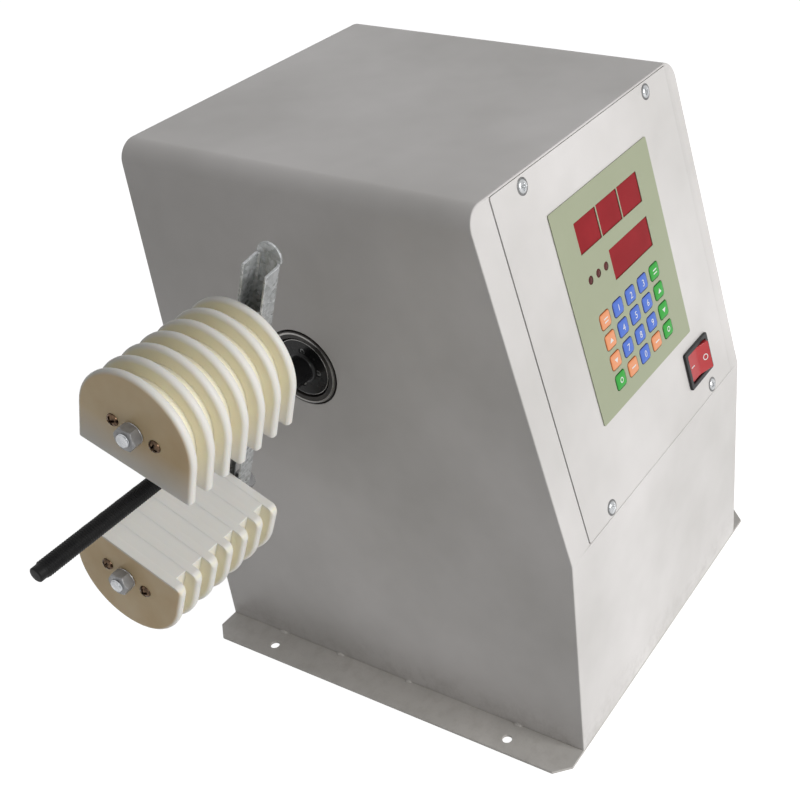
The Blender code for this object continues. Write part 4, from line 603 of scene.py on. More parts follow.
def makeBasePlate(look):
    # A rectangle with cut corners; its second four corners are opposite the first four
    halfX, halfY, cut = look["flange"] - sideX, -frontY, look["chamfer"]
    half = np.array([(cut - halfX, -halfY), (halfX - cut, -halfY), (halfX, cut - halfY),
                     (halfX, halfY - cut)])
    outline = roundedOutline(np.concatenate([half, -half]), look["corner"], 3)
    holeX, holeY = halfX - look["holeInset"], halfY - look["holeEnd"]
    holes = [circle(look["hole"] / 2, 36, (sx * holeX, sy * holeY)) for sx in (-1, 1) for sy in (-1, 1)]
    sheet = plate(outline, holes, 0, look["thickness"], look["edge"], look["edge"])
    beads = [(weldBead((way * (look["weldGap"] - sideX), y, look["thickness"]), long, look["bead"]), 0)
             for way in (-1, 1) for y, long in look["welds"]]
    makePiece("baseSheet", [(sheet, 0)], ["basePaint"], "housing", ["base_plate"])
    makePiece("tackWelds", beads, ["basePaint"], "housing", weighted=False)


makeBasePlate({
    "flange": 25, "chamfer": 10, "corner": 0.6, "thickness": 2, "edge": 0.4, "hole": 6.6, "holeInset": 11,
    "holeEnd": 50.5, "weldGap": 0.3, "welds": ((-99.4, 7), (50.0, 7), (102.7, 8), (-10, 6)),
    "bead": {"radius": 1.7, "ripple": 0.12, "sunk": 0.4},
})
print("housing and base plate made")


# cross-headed screws, used on the panel, the formers and the rear

def crossHead(look):
    # A pan head over polar coordinates: a flattened crown, less a tapering cross
    radius, height = look["radius"], look["height"]
    share = np.concatenate([np.linspace(0, 0.7, 15), np.linspace(0.76, 1, 7)])[:, None]
    angle = np.arange(72) * 2 * np.pi / 72
    y = radius * share * np.cos(angle)
    z = radius * share * np.sin(angle)
    edgeFall = np.sqrt(np.clip(1 - share ** 6, 0, 1))
    crown = height * (1 - look["crown"] * share ** 2) * edgeFall * np.ones_like(angle)
    near = np.minimum(np.abs(y), np.abs(z)) / radius
    far = np.maximum(np.abs(y), np.abs(z)) / radius
    wall = np.clip((look["slot"] - near) / 0.05, 0, 1) * np.clip((look["reach"] - far) / 0.12, 0, 1)
    top = np.stack([wall * height * look["depth"] - crown, y, z], -1)
    foot = np.stack([np.full_like(y[:1], 0.05), y[-1:], z[-1:]], -1)
    return gridShape(np.concatenate([top, foot, foot * [1, 0, 0]]), closeV=True)


panHead = {"crown": 0.25, "slot": 0.13, "reach": 0.62, "depth": 0.62}
roundHead = {"crown": 0.45, "slot": 0.2, "reach": 0.74, "depth": 0.85}


def makeRearScrews(look):
    # Two columns of heads on the rear face, each turned its own way
    head = crossHead({**panHead, **look})
    seats = [matrixOf((x, look["face"], z), (0, 0, -90)) @ matrixOf(turn=(x + z, 0, 0))
             for x in (-look["x"], look["x"]) for z in look["z"]]
    heads = [(put(head, seat), 0) for seat in seats]
    makePiece("rearScrews", heads, ["chrome"], "housing", smooth=40)


makeRearScrews({"x": 113.5, "z": (12, 190, 361), "face": 151.8, "radius": 3.6, "height": 2.1})


# control panel, drawn on its own face: across, up the slope, outwards

panel = {
    "outline": (23.2, 237.4, -225.85, -1.5), "thickness": 2.0, "corner": 1.5, "edge": 0.15,
    "display": (88.8, 174.05, -99.55, -44.8), "keyField": (89.9, 173.5, -161.7, -106.0),
    "switch": (194.25, -194.75), "switchHole": (15.6, 12.1),
    "screws": ((54, -8, 17), (54, -220.3, 40), (207, -8, 48), (207, -220.3, 71)),   # place and turn
    "screw": {**panHead, "radius": 4.1, "height": 1.35},
    # a dark ring under each head, as the painted dark reflection round it
    "washer": ((0.05, 3.7), (-0.3, 3.7), (-0.3, 4.9), (-0.15, 5.2), (0.05, 5.2)),
}


def makePanel(look):
    # A plate with three openings, and a screw over a dark washer near each corner, as a painted dark
    # reflection round each head
    holes = [rectangle(*look["display"]), rectangle(*look["keyField"]),
             centredBox(*look["switch"], *look["switchHole"])]
    sheet = plate(rectangle(*look["outline"], look["corner"]), holes, -look["thickness"], 0, look["edge"])
    makePiece("panelPlate", placed([sheet], panelFace), ["housingPaint"], "housing", ["control_panel"])
    head, washer = crossHead(look["screw"]), lathe(look["washer"], 40)
    parts = []
    for x, y, turn in look["screws"]:
        seat = panelFace @ matrixOf((x, y, 0.05), (0, 90, 0)) @ matrixOf(turn=(turn, 0, 0))
        parts += [(put(head, seat), 0), (put(washer, seat), 1)]
    makePiece("panelScrews", parts, ["chrome", "steelDark"], "housing", smooth=40)


makePanel(panel)

keys = {
    "firstX": 97.9, "firstY": -113.0, "pitchX": 16.9, "pitchY": 13.9, "width": 12.4, "height": 10.4,
    "corner": 2.5, "top": 1.5, "dome": 0.55, "clear": 0.3, "skirt": 0.9, "figureSize": 6.4,
    "figureLift": 0.05, "stem": ((-7.8, 0), (-7.8, 1.8), (-0.9, 1.8), (-0.9, 0)),
    "colours": ("obbbg", "obbbg", "obbbg", "gobog"),
    "marks": (("bars", "1", "2", "3", "bars"), ("up", "4", "5", "6", "up"), ("down", "7", "8", "9", "down"),
              ("ring", "bar", "0", "bar", "ring")),
}
windows = {
    "places": ((104.0, 25.4, -57), (131.3, 25.4, -57), (158.6, 25.4, -57), (146.1, 50.9, -87.35)),
    "height": 19.4, "face": 0.4, "lamps": (94.0, 103.7, 113.5), "lampY": -84.5, "lampRadius": 2.5,
}


def keyPlaces():
    # Row, column and place of each key
    return [(row, column, keys["firstX"] + column * keys["pitchX"], keys["firstY"] - row * keys["pitchY"])
            for row in range(4) for column in range(5)]


def makeOverlay(look):
    # A thin film with an opening for each window, lamp and key
    gap = look["gap"]
    holes = [centredBox(x, y, width / 2 + gap, windows["height"] / 2 + gap, 0.3, 2)
             for x, width, y in windows["places"]]
    lampHole = windows["lampRadius"] + look["lampGap"]
    holes += [circle(lampHole, 24, (x, windows["lampY"])) for x in windows["lamps"]]
    keyHole = [half + keys["clear"] for half in (keys["width"] / 2, keys["height"] / 2, keys["corner"])]
    holes += [centredBox(x, y, *keyHole, 5) for row, column, x, y in keyPlaces()]
    outline = rectangle(*look["outline"], look["corner"])
    film = plate(outline, holes, *look["heights"], look["edge"], look["edge"], 2)
    makePiece("overlaySheet", placed([film], panelFace), ["overlayFilm"], "housing", ["keypad_overlay"])


def makeWindows(look):
    # Clear red blocks that fill the film's windows, and three small lamp domes
    backing = plate(offsetLoop(rectangle(*panel["display"]), 0.3), [], -2, 0)
    blocks = [plate(centredBox(x, y, width / 2, look["height"] / 2, 0.4, 3), [], -0.4, look["face"], 0.2)
              for x, width, y in look["places"]]
    angle = np.linspace(0, np.pi / 2, 7)
    dome = np.stack([look["face"] - 0.1 + 0.5 * np.sin(angle), look["lampRadius"] * np.cos(angle)], 1)
    lamp = lathe(np.concatenate([[(-0.4, 0), (-0.4, look["lampRadius"])], dome]), 28)
    parts = placed([backing] + blocks, panelFace)
    for x in look["lamps"]:
        parts += placed([lamp], panelFace @ matrixOf((x, look["lampY"], 0), (0, -90, 0)), 1)
    makePiece("displayWindows", parts, ["redFilter", "lampRed"], "housing", ["display_filter"])


makeOverlay({"outline": (68.5, 193.0, -171.0, -32.0), "corner": 1.5, "heights": (0.3, 0.8), "edge": 0.12,
             "gap": 0.35, "lampGap": 0.25})
makeWindows(windows)


def keyReach(points, look):
    # How far each point is from the key's middle towards its sides, as a share of the half width
    # or half height, whichever is larger
    away = np.abs(points[:, :2]) / [look["width"] / 2, look["height"] / 2]
    return away.max(1)


def keyHeight(points, look):
    # Full height in the middle, falling with the third power of the reach towards the rim
    return look["top"] - look["dome"] * np.clip(keyReach(points, look), 0, 1) ** 3


def keyShape(look):
    # Rounded rectangles that shrink towards the middle, raised by keyHeight, over a wider skirt
    halfX, halfY, wider = look["width"] / 2, look["height"] / 2, look["skirt"]
    outline = centredBox(0, 0, halfX, halfY, look["corner"], 6)
    skirt = centredBox(0, 0, halfX + wider, halfY + wider, look["corner"] + wider, 6)
    rings = [raised(skirt * 0, -1.0), raised(skirt, -1.0), raised(skirt, 0.0), raised(outline, 0.0),
             raised(outline, 0.55)]
    for share in (0.97, 0.93, 0.87, 0.78, 0.64, 0.46, 0.25, 0):
        inner = outline * share
        edgeFall = 0.16 if share == 0.97 else 0
        rings.append(raised(inner, keyHeight(inner, look) - edgeFall))
    return gridShape(np.stack(rings), closeV=True)


def numberShape(text, size):
    # A plain figure from Blender's own font, centred, as points and faces
    curve = bpy.data.curves.new("figure", "FONT")
    curve.body = text
    curve.size = size
    curve.align_x = "CENTER"
    curve.align_y = "CENTER"
    curve.resolution_u = 3
    holder = bpy.data.objects.new("figure", curve)
    bpy.context.scene.collection.objects.link(holder)
    made = bpy.data.meshes.new_from_object(holder.evaluated_get(bpy.context.evaluated_depsgraph_get()))
    points = meshPoints(made)
    points[:, :2] -= (points[:, :2].min(0) + points[:, :2].max(0)) / 2
    faces = [list(face.vertices) for face in made.polygons]
    bpy.data.objects.remove(holder)
    bpy.data.meshes.remove(made)
    return points, faces


markLoops = {   # plain marks for the keys without a number
    "bar": [[centredBox(0, 0, 2.6, 0.45, 0.3, 2)]],
    "bars": [[rectangle(-2.4, 2.4, low, low + 0.8, 0.3, 2)] for low in (-1.5, 0.7)],
    "up": [[np.array([(-2.2, -1.3), (2.2, -1.3), (0, 1.7)])]],
    "down": [[np.array([(-2.2, 1.3), (0, -1.7), (2.2, 1.3)])]],
    "ring": [[circle(1.9, 24), circle(1.2, 24)[::-1]]],
}
keyPaints = {"b": ("keyBlue", "key_blue"), "g": ("keyGreen", "key_green"), "o": ("keyOrange", "key_orange")}


def makeKeys(look):
    # A cap and a round stem for each key, with a figure or a mark that follows the dome
    cap = keyShape(look)
    stem = put(lathe(look["stem"], 20), matrixOf(turn=(0, -90, 0)))
    for row, column, x, y in keyPlaces():
        seat = panelFace @ matrixOf((x, y, 0))
        mark = look["marks"][row][column]
        if mark.isdigit():
            figures = [numberShape(mark, look["figureSize"])]
        else:
            figures = [region(loops, 0) for loops in markLoops[mark]]
        parts = placed([cap, stem], seat)
        for points, faces in figures:
            lifted = raised(points[:, :2], keyHeight(points, look) + look["figureLift"])
            parts.append((put((lifted, faces), seat), 1))
        finish, slot = keyPaints[look["colours"][row][column]]
        number = f"{row + 1}_{column + 1}"
        piece = makePiece(f"keyCap_{number}", parts, [finish, "keyInk"], f"button_{number}",
                          [f"key_{number}"], weighted=False)
        # the rim attribute is the distance inwards from the cap's outline, as a share, and 0 below the cap
        drawn = drawnPoints(piece, seat)
        setPointValues(piece, "rim", np.clip((1 - keyReach(drawn, look)) * 3, 0, 1) * (drawn[:, 2] > 0.6))


makeKeys(keys)
print("panel, film, windows and keys made")


# power switch

def makeSwitch(look):
    # The frame is a rim, a hollow tube behind it and a solid block at its end
    seat = panelFace @ matrixOf((*panel["switch"], 0))
    well = centredBox(0, 0, *look["well"], 0.4, 3)
    box = centredBox(0, 0, *look["body"], 0.6, 3)
    frameOutline = centredBox(0, 0, look["width"] / 2, look["height"] / 2, look["corner"])
    rim = plate(frameOutline, [well], look["seat"], look["seat"] + look["rim"], 0.6, 0.5)
    tube = plate(box, [well], -look["wellDepth"], 0.5)
    block = plate(box, [], -look["depth"], -look["wellDepth"] + 0.2)
    makePiece("switchFrame", placed([rim, tube, block], seat), ["blackPlastic"], "housing", ["switch_bezel"])

    # the rocker in section: two rounded ends, and two finger faces that fall along a shallow curve to
    # the valley, with its keel below
    radius, valley, edge = look["radius"], look["valley"], look["edge"]
    side = np.radians(np.linspace(-look["lower"], look["upper"], 10))
    right = np.stack([radius * np.cos(side), radius * np.sin(side)], 1)
    edgeX, edgeZ = right[-1]

    def faceHeight(away):
        return valley + (edgeZ - valley) * (away / edgeX) ** 1.25

    across = np.linspace(edgeX, 0, 16)[1:]
    face = np.stack([across, faceHeight(across)], 1)
    left = np.concatenate([right, face])[::-1] * [-1, 1]
    outline = np.concatenate([right, face, left[1:], [(0, -look["keel"])]])
    turns = np.linspace(0, np.pi / 2, 5)
    rings = []
    for way in (-1, 1):
        for turn in turns[::-way]:
            height = way * (look["halfHeight"] - edge * (1 - np.cos(turn)))
            rings.append((height, offsetLoop(outline, edge * (1 - np.sin(turn)))))
    pin = plate(circle(1.2, 24), [], -look["halfHeight"] - 1, look["halfHeight"] + 1)
    rocker = seat @ matrixOf((0, 0, look["pivot"]), (0, look["tilt"], 0))
    parts = placed([alongY(stacked(rings)), alongY(pin)], rocker)
    ring = [circle(2.3, 32), circle(1.65, 32)[::-1]]
    bar = [centredBox(0, 0, 2.2, 0.4, 0.3, 2)]
    for centre, loops in ((look["markX"], ring), (-look["markX"], bar)):
        points, faces = region(loops)
        points = points + [centre, 0]
        parts += placed([(raised(points, faceHeight(np.abs(points[:, 0])) + 0.05), faces)], rocker, 1)
    makePiece("switchRocker", parts, ["rockerRed", "keyInk"], "power_rocker", ["switch_rocker"],
              smooth=35)


makeSwitch({
    "width": 35, "height": 27.5, "seat": 0.3, "rim": 1.8, "corner": 1.5, "body": (15.3, 11.8), "depth": 22,
    "well": (13.9, 10.5), "wellDepth": 13, "radius": 13.6, "halfHeight": 10.2, "pivot": -3.0, "tilt": -11,
    "upper": 27, "lower": 22, "valley": 4.2, "keel": 5.6, "edge": 0.7, "markX": 7.4,
})


# spindle and its bearing block, along X from the winding side into the housing

def makeBearingBlock(look):
    # The nose's face, with a band of painted glint along its outer edge, and the square flange behind the
    # sheet
    half, bolt = look["flangeHalf"], look["boltPlace"]
    holes = [circle(3.3, 24, (sy * bolt, sz * bolt)) for sy in (-1, 1) for sz in (-1, 1)]
    flange = plate(centredBox(0, 0, half, half, 5), holes + [circle(33.6, 96)], *look["flangeX"], 0.5, 0.2)
    parts = placed([lathe(profileOf(look["nose"], 4), 128), alongX(flange)], axis)
    # the band along the nose's outer edge is a painted glint
    parts += placed([lathe(look["band"], 128)], axis, 1)
    makePiece("bearingHousing", parts, ["blockIron", "edgeGlint"], "housing", ["bearing_block"])


def makeHub(look):
    # The disc has four counterbores; each holds a socket screw with a hexagon recess, whose floor is black
    # as painted shade
    places = [(look["boltCircle"] * math.cos(angle), look["boltCircle"] * math.sin(angle))
              for angle in np.radians(look["boltTurn"] + 90 * np.arange(4))]
    holes = [circle(look["bore"], 32, place) for place in places] + [circle(look["shaftHole"], 72)]
    disc = alongX(plate(circle(look["disc"], 120), holes, *look["discX"], 0.5, 0.15, 4))
    parts = placed([disc], axis)
    # a thin band round the disc's rim in the bright edge metal, as a painted glint
    band = [(x, look["disc"] + away) for x, away in look["band"]]
    parts += placed([lathe(band, 128)], axis, 2) + placed([lathe(profileOf(look["shaft"], 6), 96)], axis)
    screw = alongX(plate(circle(look["bore"] - 0.25, 36), [circle(1.1, 6)], 0.75, 6.8, 0.3, 0.1))
    # the socket's floor is black steel, as painted shade in the recess
    shadedRecessFloor = alongX(plate(circle(1.5, 18), [], 2.6, 3.2))
    for place in places:
        seat = axis @ matrixOf((0, *place), (13, 0, 0))
        parts += [(put(screw, seat), 1), (put(shadedRecessFloor, seat), 0)]
    makePiece("spindleHub", parts, ["blackSteel", "steelDark", "edgeGlint"], "spindle", ["spindle"])


makeBearingBlock({
    "nose": ((-0.7, 20.7, 0.4), (-0.7, 24.5, 0.1), (-0.1, 25.2, 0.1), (1.8, 25.2, 0), (1.8, 34, 0.6),
             (80, 34, 0.8), (80, 26, 0.8), (10.2, 26, 0), (10.2, 20.7, 0.3)),
    "band": ((-0.76, 23.5), (-0.82, 23.75), (-0.76, 24.25), (-0.66, 24.62), (-0.5, 24.4), (-0.6, 23.5)),
    "flangeHalf": 45, "flangeX": (2.0, 9.8), "boltPlace": 36,
})
makeHub({
    "disc": 19.5, "discX": (0.3, 7.3), "boltCircle": 11.6, "boltTurn": 8, "bore": 2.3, "shaftHole": 8.1,
    "shaft": ((-48.7, 4.3, 0.3), (-48.7, 8.5, 0.4), (0.31, 8.5, 2), (0.31, 10.6, 0), (3.2, 10.6, 0),
              (3.2, 16, 0.5), (10.2, 16, 0), (10.2, 12.5, 0.5), (112, 12.5, 1), (112, 0, 0),
              (-24.7, 0, 0), (-24.7, 4.3, 0)),
    # place along X, and how far out from the disc's rim
    "band": ((0.32, -0.5), (0.24, -0.4), (0.34, -0.1), (0.6, 0.08), (0.9, -0.1), (0.6, -0.5)),
})


# winding head: the channel rail, drawn along Z with X outwards as in the head's frame

def makeRail(look):
    # The web: straight sides drawn in to a rounded tongue at both ends, with two slots and a hole
    outerBend = look["innerBend"] + look["sheet"]
    flat = look["half"] - outerBend
    wide, end = look["tongueHalf"], look["halfLength"]
    arc = np.linspace(0, np.pi, 33)
    cap = np.stack([wide * np.cos(arc), end + 0.8 + wide * np.sin(arc)], 1)
    shoulder = np.array([(flat, end - 1.2), (flat + 0.3, end - 0.5), (wide - 0.4, end - 0.3),
                         (wide - 0.05, end)])
    half = np.concatenate([shoulder, cap, (shoulder * [-1, 1])[::-1]])
    near, far = look["slot"]
    holes = [slotOutline(look["slotHalf"], near, far), slotOutline(look["slotHalf"], -far, -near),
             circle(look["rodHole"], 36)]
    web = alongX(plate(np.concatenate([half, -half]), holes, look["web"], look["back"], 0.3, 0.2))

    # one flange: the bend and the straight wall, as a closed profile carried along the rail
    angle = np.linspace(0, np.pi / 2, 9)
    bendX = look["back"] - outerBend
    outer, inner = [np.stack([bendX + bend * np.cos(angle), flat + bend * np.sin(angle)], 1)
                    for bend in (outerBend, look["innerBend"])]
    lip, cut, outside, inside = look["edge"], look["edgeCut"], look["half"], look["half"] - look["sheet"]
    tip = np.array([(lip + cut, outside), (lip, outside - cut), (lip, inside + cut), (lip + cut, inside)])
    profile = np.concatenate([outer, tip, inner[::-1]])
    rings = [(height, offsetLoop(profile, inset))
             for height, inset in ((-end, 0.18), (-end + 0.3, 0), (end - 0.3, 0), (end, 0.18))]
    shapes = [web]
    for way in (1, -1):
        points, faces = stacked([(height, loop * [1, way]) for height, loop in rings])
        # the ends are cut at a slant, shorter in proportion to the distance from the web
        away = (look["back"] - points[:, 0]) / (look["back"] - lip)
        points[:, 2] -= np.sign(points[:, 2]) * look["slant"] * away
        shapes.append((points, faces))
    makePiece("channelRail", placed(shapes, head), ["galvanised"], "spindle", ["head_rail"])


makeRail({
    "web": -50.5, "back": -49.0, "edge": -62.1, "edgeCut": 0.35, "half": 8.3, "sheet": 1.5, "innerBend": 1.8,
    "halfLength": 115.5, "tongueHalf": 8.2, "slant": 3, "slot": (14, 76), "slotHalf": 4.3, "rodHole": 4.3,
})


def threaded(look, steps, perPitch, blunt=0.3):
    # r = radius less depth times a rounded saw of (place / pitch - turn), which rises and falls once per
    # pitch along a helix; both ends are tapered
    (low, high), pitch, depth = look["span"], look["pitch"], look["depth"]
    x = np.linspace(low, high, int((high - low) / pitch * perPitch) + 1)[:, None]
    turn = np.arange(steps) / steps
    phase = (x / pitch - turn) % 1
    saw = np.abs(2 * phase - 1)
    r = look["radius"] - depth * np.clip((saw - blunt / 2) / (1 - blunt), 0, 1)
    taper = np.minimum((x - low), (high - x)) / look["chamfer"]
    r = np.minimum(r, look["radius"] - depth * 1.15 + np.clip(taper, 0, 1) * depth * 1.6)
    y = r * np.cos(turn * 2 * np.pi)
    z = r * np.sin(turn * 2 * np.pi)
    grid = np.stack([np.broadcast_to(x, r.shape), y, z], -1)
    return gridShape(np.concatenate([grid[:1] * [1, 0, 0], grid, grid[-1:] * [1, 0, 0]]), closeV=True)


def makeRod(look):
    # A threaded shank, a rounded tip no wider than the thread's core, and a plain neck in the hub
    tip = profileOf(look["tip"], 8)
    tip[:, 1] = np.minimum(tip[:, 1], look["tipRadius"])
    shapes = [lathe(tip, 48), threaded(look, 40, 9), lathe(look["neck"], 40)]
    makePiece("threadedRod", placed(shapes, axis), ["rodBlack"], "spindle", ["centre_rod"],
              smooth=60, weighted=False)


makeRod({
    "radius": 5.0, "pitch": 1.5, "depth": 0.55, "span": (-209, -50.8), "chamfer": 2.0, "tipRadius": 4.35,
    "tip": ((-213, 0, 0), (-213, 5, 2), (-206, 5, 0), (-206, 0, 0)),
    "neck": ((-51.5, 0), (-51.5, 4), (-25, 4), (-25, 0)),
})


# formers: plates with a rounded rim, and behind each a spacer that is the groove's floor. Both formers
# share the first settings; the second ones are each former's own

former = {
    "face": -147, "pitch": 13.2, "half": 38.4, "rim": 2.4, "flatRim": 0.15, "thick": 5.4, "spacerEnd": 13.18,
    "groove": 9.0, "spacerFlat": 0.16, "studHole": 4.3, "screwHole": 2.15, "screwY": 14, "fade": 1.8,
    "washer": ((-147.9, 4.1, 0.2), (-147.9, 6.6, 0.2), (-147.3, 6.6, 0.2), (-147.3, 4.1, 0.2)),
    "stud": {"radius": 4.0, "pitch": 1.25, "depth": 0.45, "span": (-155.9, -41.4), "chamfer": 0.9},
    "nuts": ((-154.4, -147.9), (-48.7, -42.2)), "across": 13, "nutBore": 3.6,
    "screw": {**roundHead, "radius": 3.8, "height": 2.2},
    "shank": ((-147.2, 0), (-147.2, 1.9), (-66, 1.9), (-66, 0)),
}
formers = {
    "upper": {"place": 53.7, "turn": -1.6, "straight": 24.7, "drop": 27.6, "corners": (0.8, 0.8),
              "nutTurn": 27},
    "lower": {"place": -66.2, "turn": 182.4, "straight": 20.9, "drop": 21.2, "corners": (17, 5.5),
              "nutTurn": 15},
}


def hexNut(low, high, across, bore):
    # Six flats whose radius is cut by a cone at both faces, round a bore
    steps = 72
    angle = np.arange(steps) * 2 * np.pi / steps
    flat = across / 2 / np.cos((angle + np.pi / 6) % (np.pi / 3) - np.pi / 6)
    depth = np.array([0, 0.15, 0.4, 0.8, 1.2])
    cone = across / 2 * 0.97 + depth * 1.45
    outer = np.minimum(flat[None, :], np.concatenate([cone, cone[::-1]])[:, None])
    inside, mouth = np.full((1, steps), bore), np.full((1, steps), bore + 0.5)
    r = np.concatenate([inside, mouth, outer, mouth, inside])
    x = np.concatenate([[low + 0.5, low], low + depth, high - depth[::-1], [high, high - 0.5]])
    grid = np.stack([np.repeat(x[:, None], steps, 1), r * np.cos(angle), r * np.sin(angle)], -1)
    return gridShape(grid, True, True)


def formerLoop(look, inset, flatInset):
    # A flat side, its two corners, two straight sides and a half circle over them
    half = look["half"] - inset
    flat = -look["drop"] + flatInset
    centreZ = -look["drop"] + look["straight"]
    first, second = [max(radius - inset, 0.3) for radius in look["corners"]]
    corner = np.linspace(0, np.pi / 2, 13)
    arc = np.linspace(0, np.pi, 97)
    left = np.stack([-half + first - first * np.cos(corner), flat + first - first * np.sin(corner)], 1)
    right = np.stack([half - second + second * np.sin(corner), flat + second - second * np.cos(corner)], 1)
    top = np.stack([half * np.cos(arc), centreZ + half * np.sin(arc)], 1)
    return np.concatenate([left, right, top])


def formerPlate(look, spacer):
    # The rim is a quarter circle at both faces; a spacer goes on behind at the groove's depth
    rim, flatRim, thick = look["rim"], look["flatRim"], look["thick"]
    half = [(rim * (1 - math.cos(turn)), rim * (1 - math.sin(turn)), flatRim * (1 - math.sin(turn)))
            for turn in np.linspace(0, np.pi / 2, 8)]
    rings = half + [(thick - height, inset, flatInset) for height, inset, flatInset in half[::-1]]
    if spacer:
        rings += [(height, look["groove"], look["spacerFlat"]) for height in (thick, look["spacerEnd"])]
    loops = [(height, formerLoop(look, inset, flatInset)) for height, inset, flatInset in rings]
    holes = [circle(look["studHole"], 28)]
    holes += [circle(look["screwHole"], 20, (way * look["screwY"], 0)) for way in (1, -1)]
    return alongX(stacked(loops, holes))


def shadeFormer(piece, look, slide):
    # Depth under the outline: half width less the distance to the arc's middle, or the height over the
    # flat side. The painted rim highlight share falls from 1 at the outline to 0 at the depth in fade; the
    # cream one rises from 0 on the former's outer face, whose tan is painted shade, to 1 a little behind it
    x, y, z = drawnPoints(piece, slide).T
    overArc = np.maximum(z - (look["straight"] - look["drop"]), 0)
    depth = np.minimum(look["half"] - np.hypot(y, overArc), z + look["drop"])
    setPointValues(piece, "paintedRimHighlight", 1 - np.clip((depth - 0.4) / look["fade"], 0, 1))
    setPointValues(piece, "cream", np.clip((x - look["face"]) / 2.5, 0, 1))


def makeFormer(name, look):
    # Seven plates a pitch apart, a stud with a washer and two nuts, two screws with their shanks
    body = f"{name}_former"
    slide = head @ matrixOf((0, 0, look["place"]), (look["turn"], 0, 0))
    full, last = formerPlate(look, True), formerPlate(look, False)
    for number in range(7):
        seat = slide @ matrixOf((look["face"] + look["pitch"] * number, 0, 0))
        parts = placed([full if number < 6 else last], seat)
        piece = makePiece(f"{name}Plate{number + 1}", parts, ["formerNylon"], body,
                          [f"{name}_plate_{number + 1}"], smooth=35)
        shadeFormer(piece, look, slide)
    turned = slide @ matrixOf(turn=(look["nutTurn"], 0, 0))
    parts = placed([lathe(profileOf(look["washer"], 3), 60), threaded(look["stud"], 36, 8)], turned)
    parts += placed([hexNut(*span, look["across"], look["nutBore"]) for span in look["nuts"]], turned, 1)
    makePiece(f"{name}Stud", parts, ["zincPlate", "nutSteel"], body, [f"{name}_stud"], smooth=32,
              weighted=False)
    parts = []
    for way in (-1, 1):
        y = look["screwY"] * way
        seat = slide @ matrixOf((look["face"], y, 0)) @ matrixOf(turn=(38 + 17 * way, 0, 0))
        parts += placed([crossHead(look["screw"])], seat)
        parts += placed([lathe(look["shank"], 16)], slide @ matrixOf((0, y, 0)))
    makePiece(f"{name}ClampScrews", parts, ["screwBronze"], body, smooth=40)


for formerName, formerLook in formers.items():
    makeFormer(formerName, {**former, **formerLook})
print("winding head made")


# carried-over solids keep their shape and get their own finish

carriedOver = {
    "housingPaint": ["rear_panel"], "circuitBoard": ["display_board", "control_board"],
    "steel": ["front_bearing", "rear_bearing", "motor_pulley", "pedal_socket"], "beltRubber": ["drive_belt"],
    "motorEnamel": ["motor", "motor_bracket"], "copperWinding": ["transformer"],
    "blackPlastic": ["power_inlet"], "castAluminium": ["spindle_pulley"],
}
for finish, nodeNames in carriedOver.items():
    for nodeName in nodeNames:
        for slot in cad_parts[nodeName].material_slots:
            slot.material = materials[finish]
print("carried-over solids finished:", sum(len(nodeNames) for nodeNames in carriedOver.values()))


# floor, light and camera

def backgroundShare(tree):
    # 1 for camera, glossy and transmission rays, 0 for the rest
    path = node(tree, "ShaderNodeLightPath", {})
    first = combinedMath(tree, "MAXIMUM", path.outputs["Is Camera Ray"], path.outputs["Is Glossy Ray"])
    return combinedMath(tree, "MAXIMUM", first, path.outputs["Is Transmission Ray"])


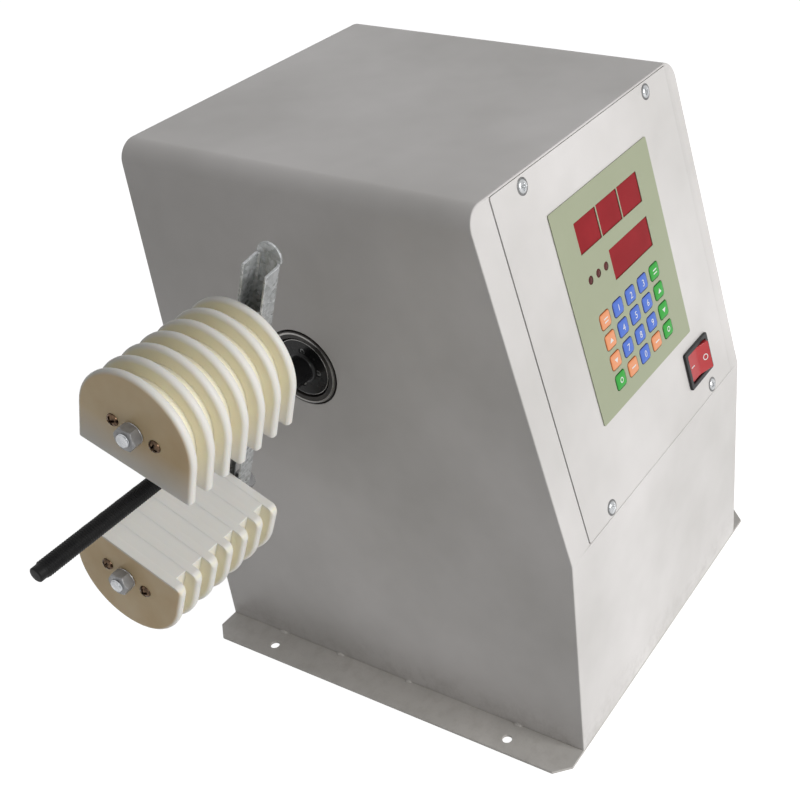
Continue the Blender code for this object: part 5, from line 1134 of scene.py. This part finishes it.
def makeFloor(look):
    size, low = look["floorSize"], look["floorZ"]
    mesh = bpy.data.meshes.new("floor")
    mesh.from_pydata(raised(centredBox(0, 0, size, size), low).tolist(), [], [(0, 1, 2, 3)])
    floor = bpy.data.objects.new("floor", mesh)
    bpy.context.scene.collection.objects.link(floor)
    paint = bpy.data.materials.new("floorPaint")
    paint.use_nodes = True
    tree = paint.node_tree
    tree.nodes.clear()
    plain = node(tree, "ShaderNodeBsdfDiffuse", {"Color": look["floorColour"]})
    shaded = node(tree, "ShaderNodeBsdfDiffuse", {"Color": look["floorShade"]})
    glow = node(tree, "ShaderNodeEmission", {"Strength": look["floorGlow"]})
    both = node(tree, "ShaderNodeAddShader", {0: shaded.outputs[0], 1: glow.outputs[0]})
    inputs = {0: backgroundShare(tree), 1: plain.outputs[0], 2: both.outputs[0]}
    pick = node(tree, "ShaderNodeMixShader", inputs)
    node(tree, "ShaderNodeOutputMaterial", {0: pick.outputs[0]})
    mesh.materials.append(paint)


def makeLight(look):
    world = bpy.data.worlds.new("studioWorld")
    world.use_nodes = True
    tree = world.node_tree
    ground = tree.nodes["Background"]
    ground.inputs["Color"].default_value = (1, 1, 1, 1)
    strength = mapped(tree, backgroundShare(tree), 0, 1, look["world"], 1)
    tree.links.new(strength, ground.inputs["Strength"])
    bpy.context.scene.world = world
    light = bpy.data.lights.new("operatorSide", "AREA")
    light.shape = "DISK"
    light.size = look["lampSize"]
    light.energy = look["lampPower"]
    holder = bpy.data.objects.new("operatorSide", light)
    bpy.context.scene.collection.objects.link(holder)
    holder.location = look["lampPlace"]
    holder.rotation_euler = (Vector(look["lampAim"]) - holder.location).to_track_quat("-Z", "Y").to_euler()


def makeCamera(look):
    data = bpy.data.cameras.new("camera")
    data.sensor_fit = "HORIZONTAL"
    data.sensor_width = 36
    data.lens = look["lens"]
    data.shift_x, data.shift_y = look["shift"]
    data.clip_start = 0.05
    holder = bpy.data.objects.new("camera", data)
    bpy.context.scene.collection.objects.link(holder)
    holder.location = look["place"]
    holder.rotation_euler = [math.radians(angle) for angle in look["turn"]]
    bpy.context.scene.camera = holder


makeFloor({"floorColour": (0.86, 0.86, 0.86, 1), "floorShade": (0.5, 0.5, 0.5, 1), "floorGlow": 0.93,
           "floorSize": 14, "floorZ": -0.0002})
makeLight({"world": 0.178, "lampPlace": (0.03, -2.55, 1.25), "lampAim": (0, 0, 0.2), "lampSize": 1.6,
           "lampPower": 51})
makeCamera({"place": (-0.62952, -0.45369, 0.66926), "turn": (56.8814, 3.5971, -60.0394), "lens": 58.91,
            "shift": (-0.1714, -0.0058)})
bpy.context.scene.view_settings.view_transform = "Standard"
print("studio and camera made")
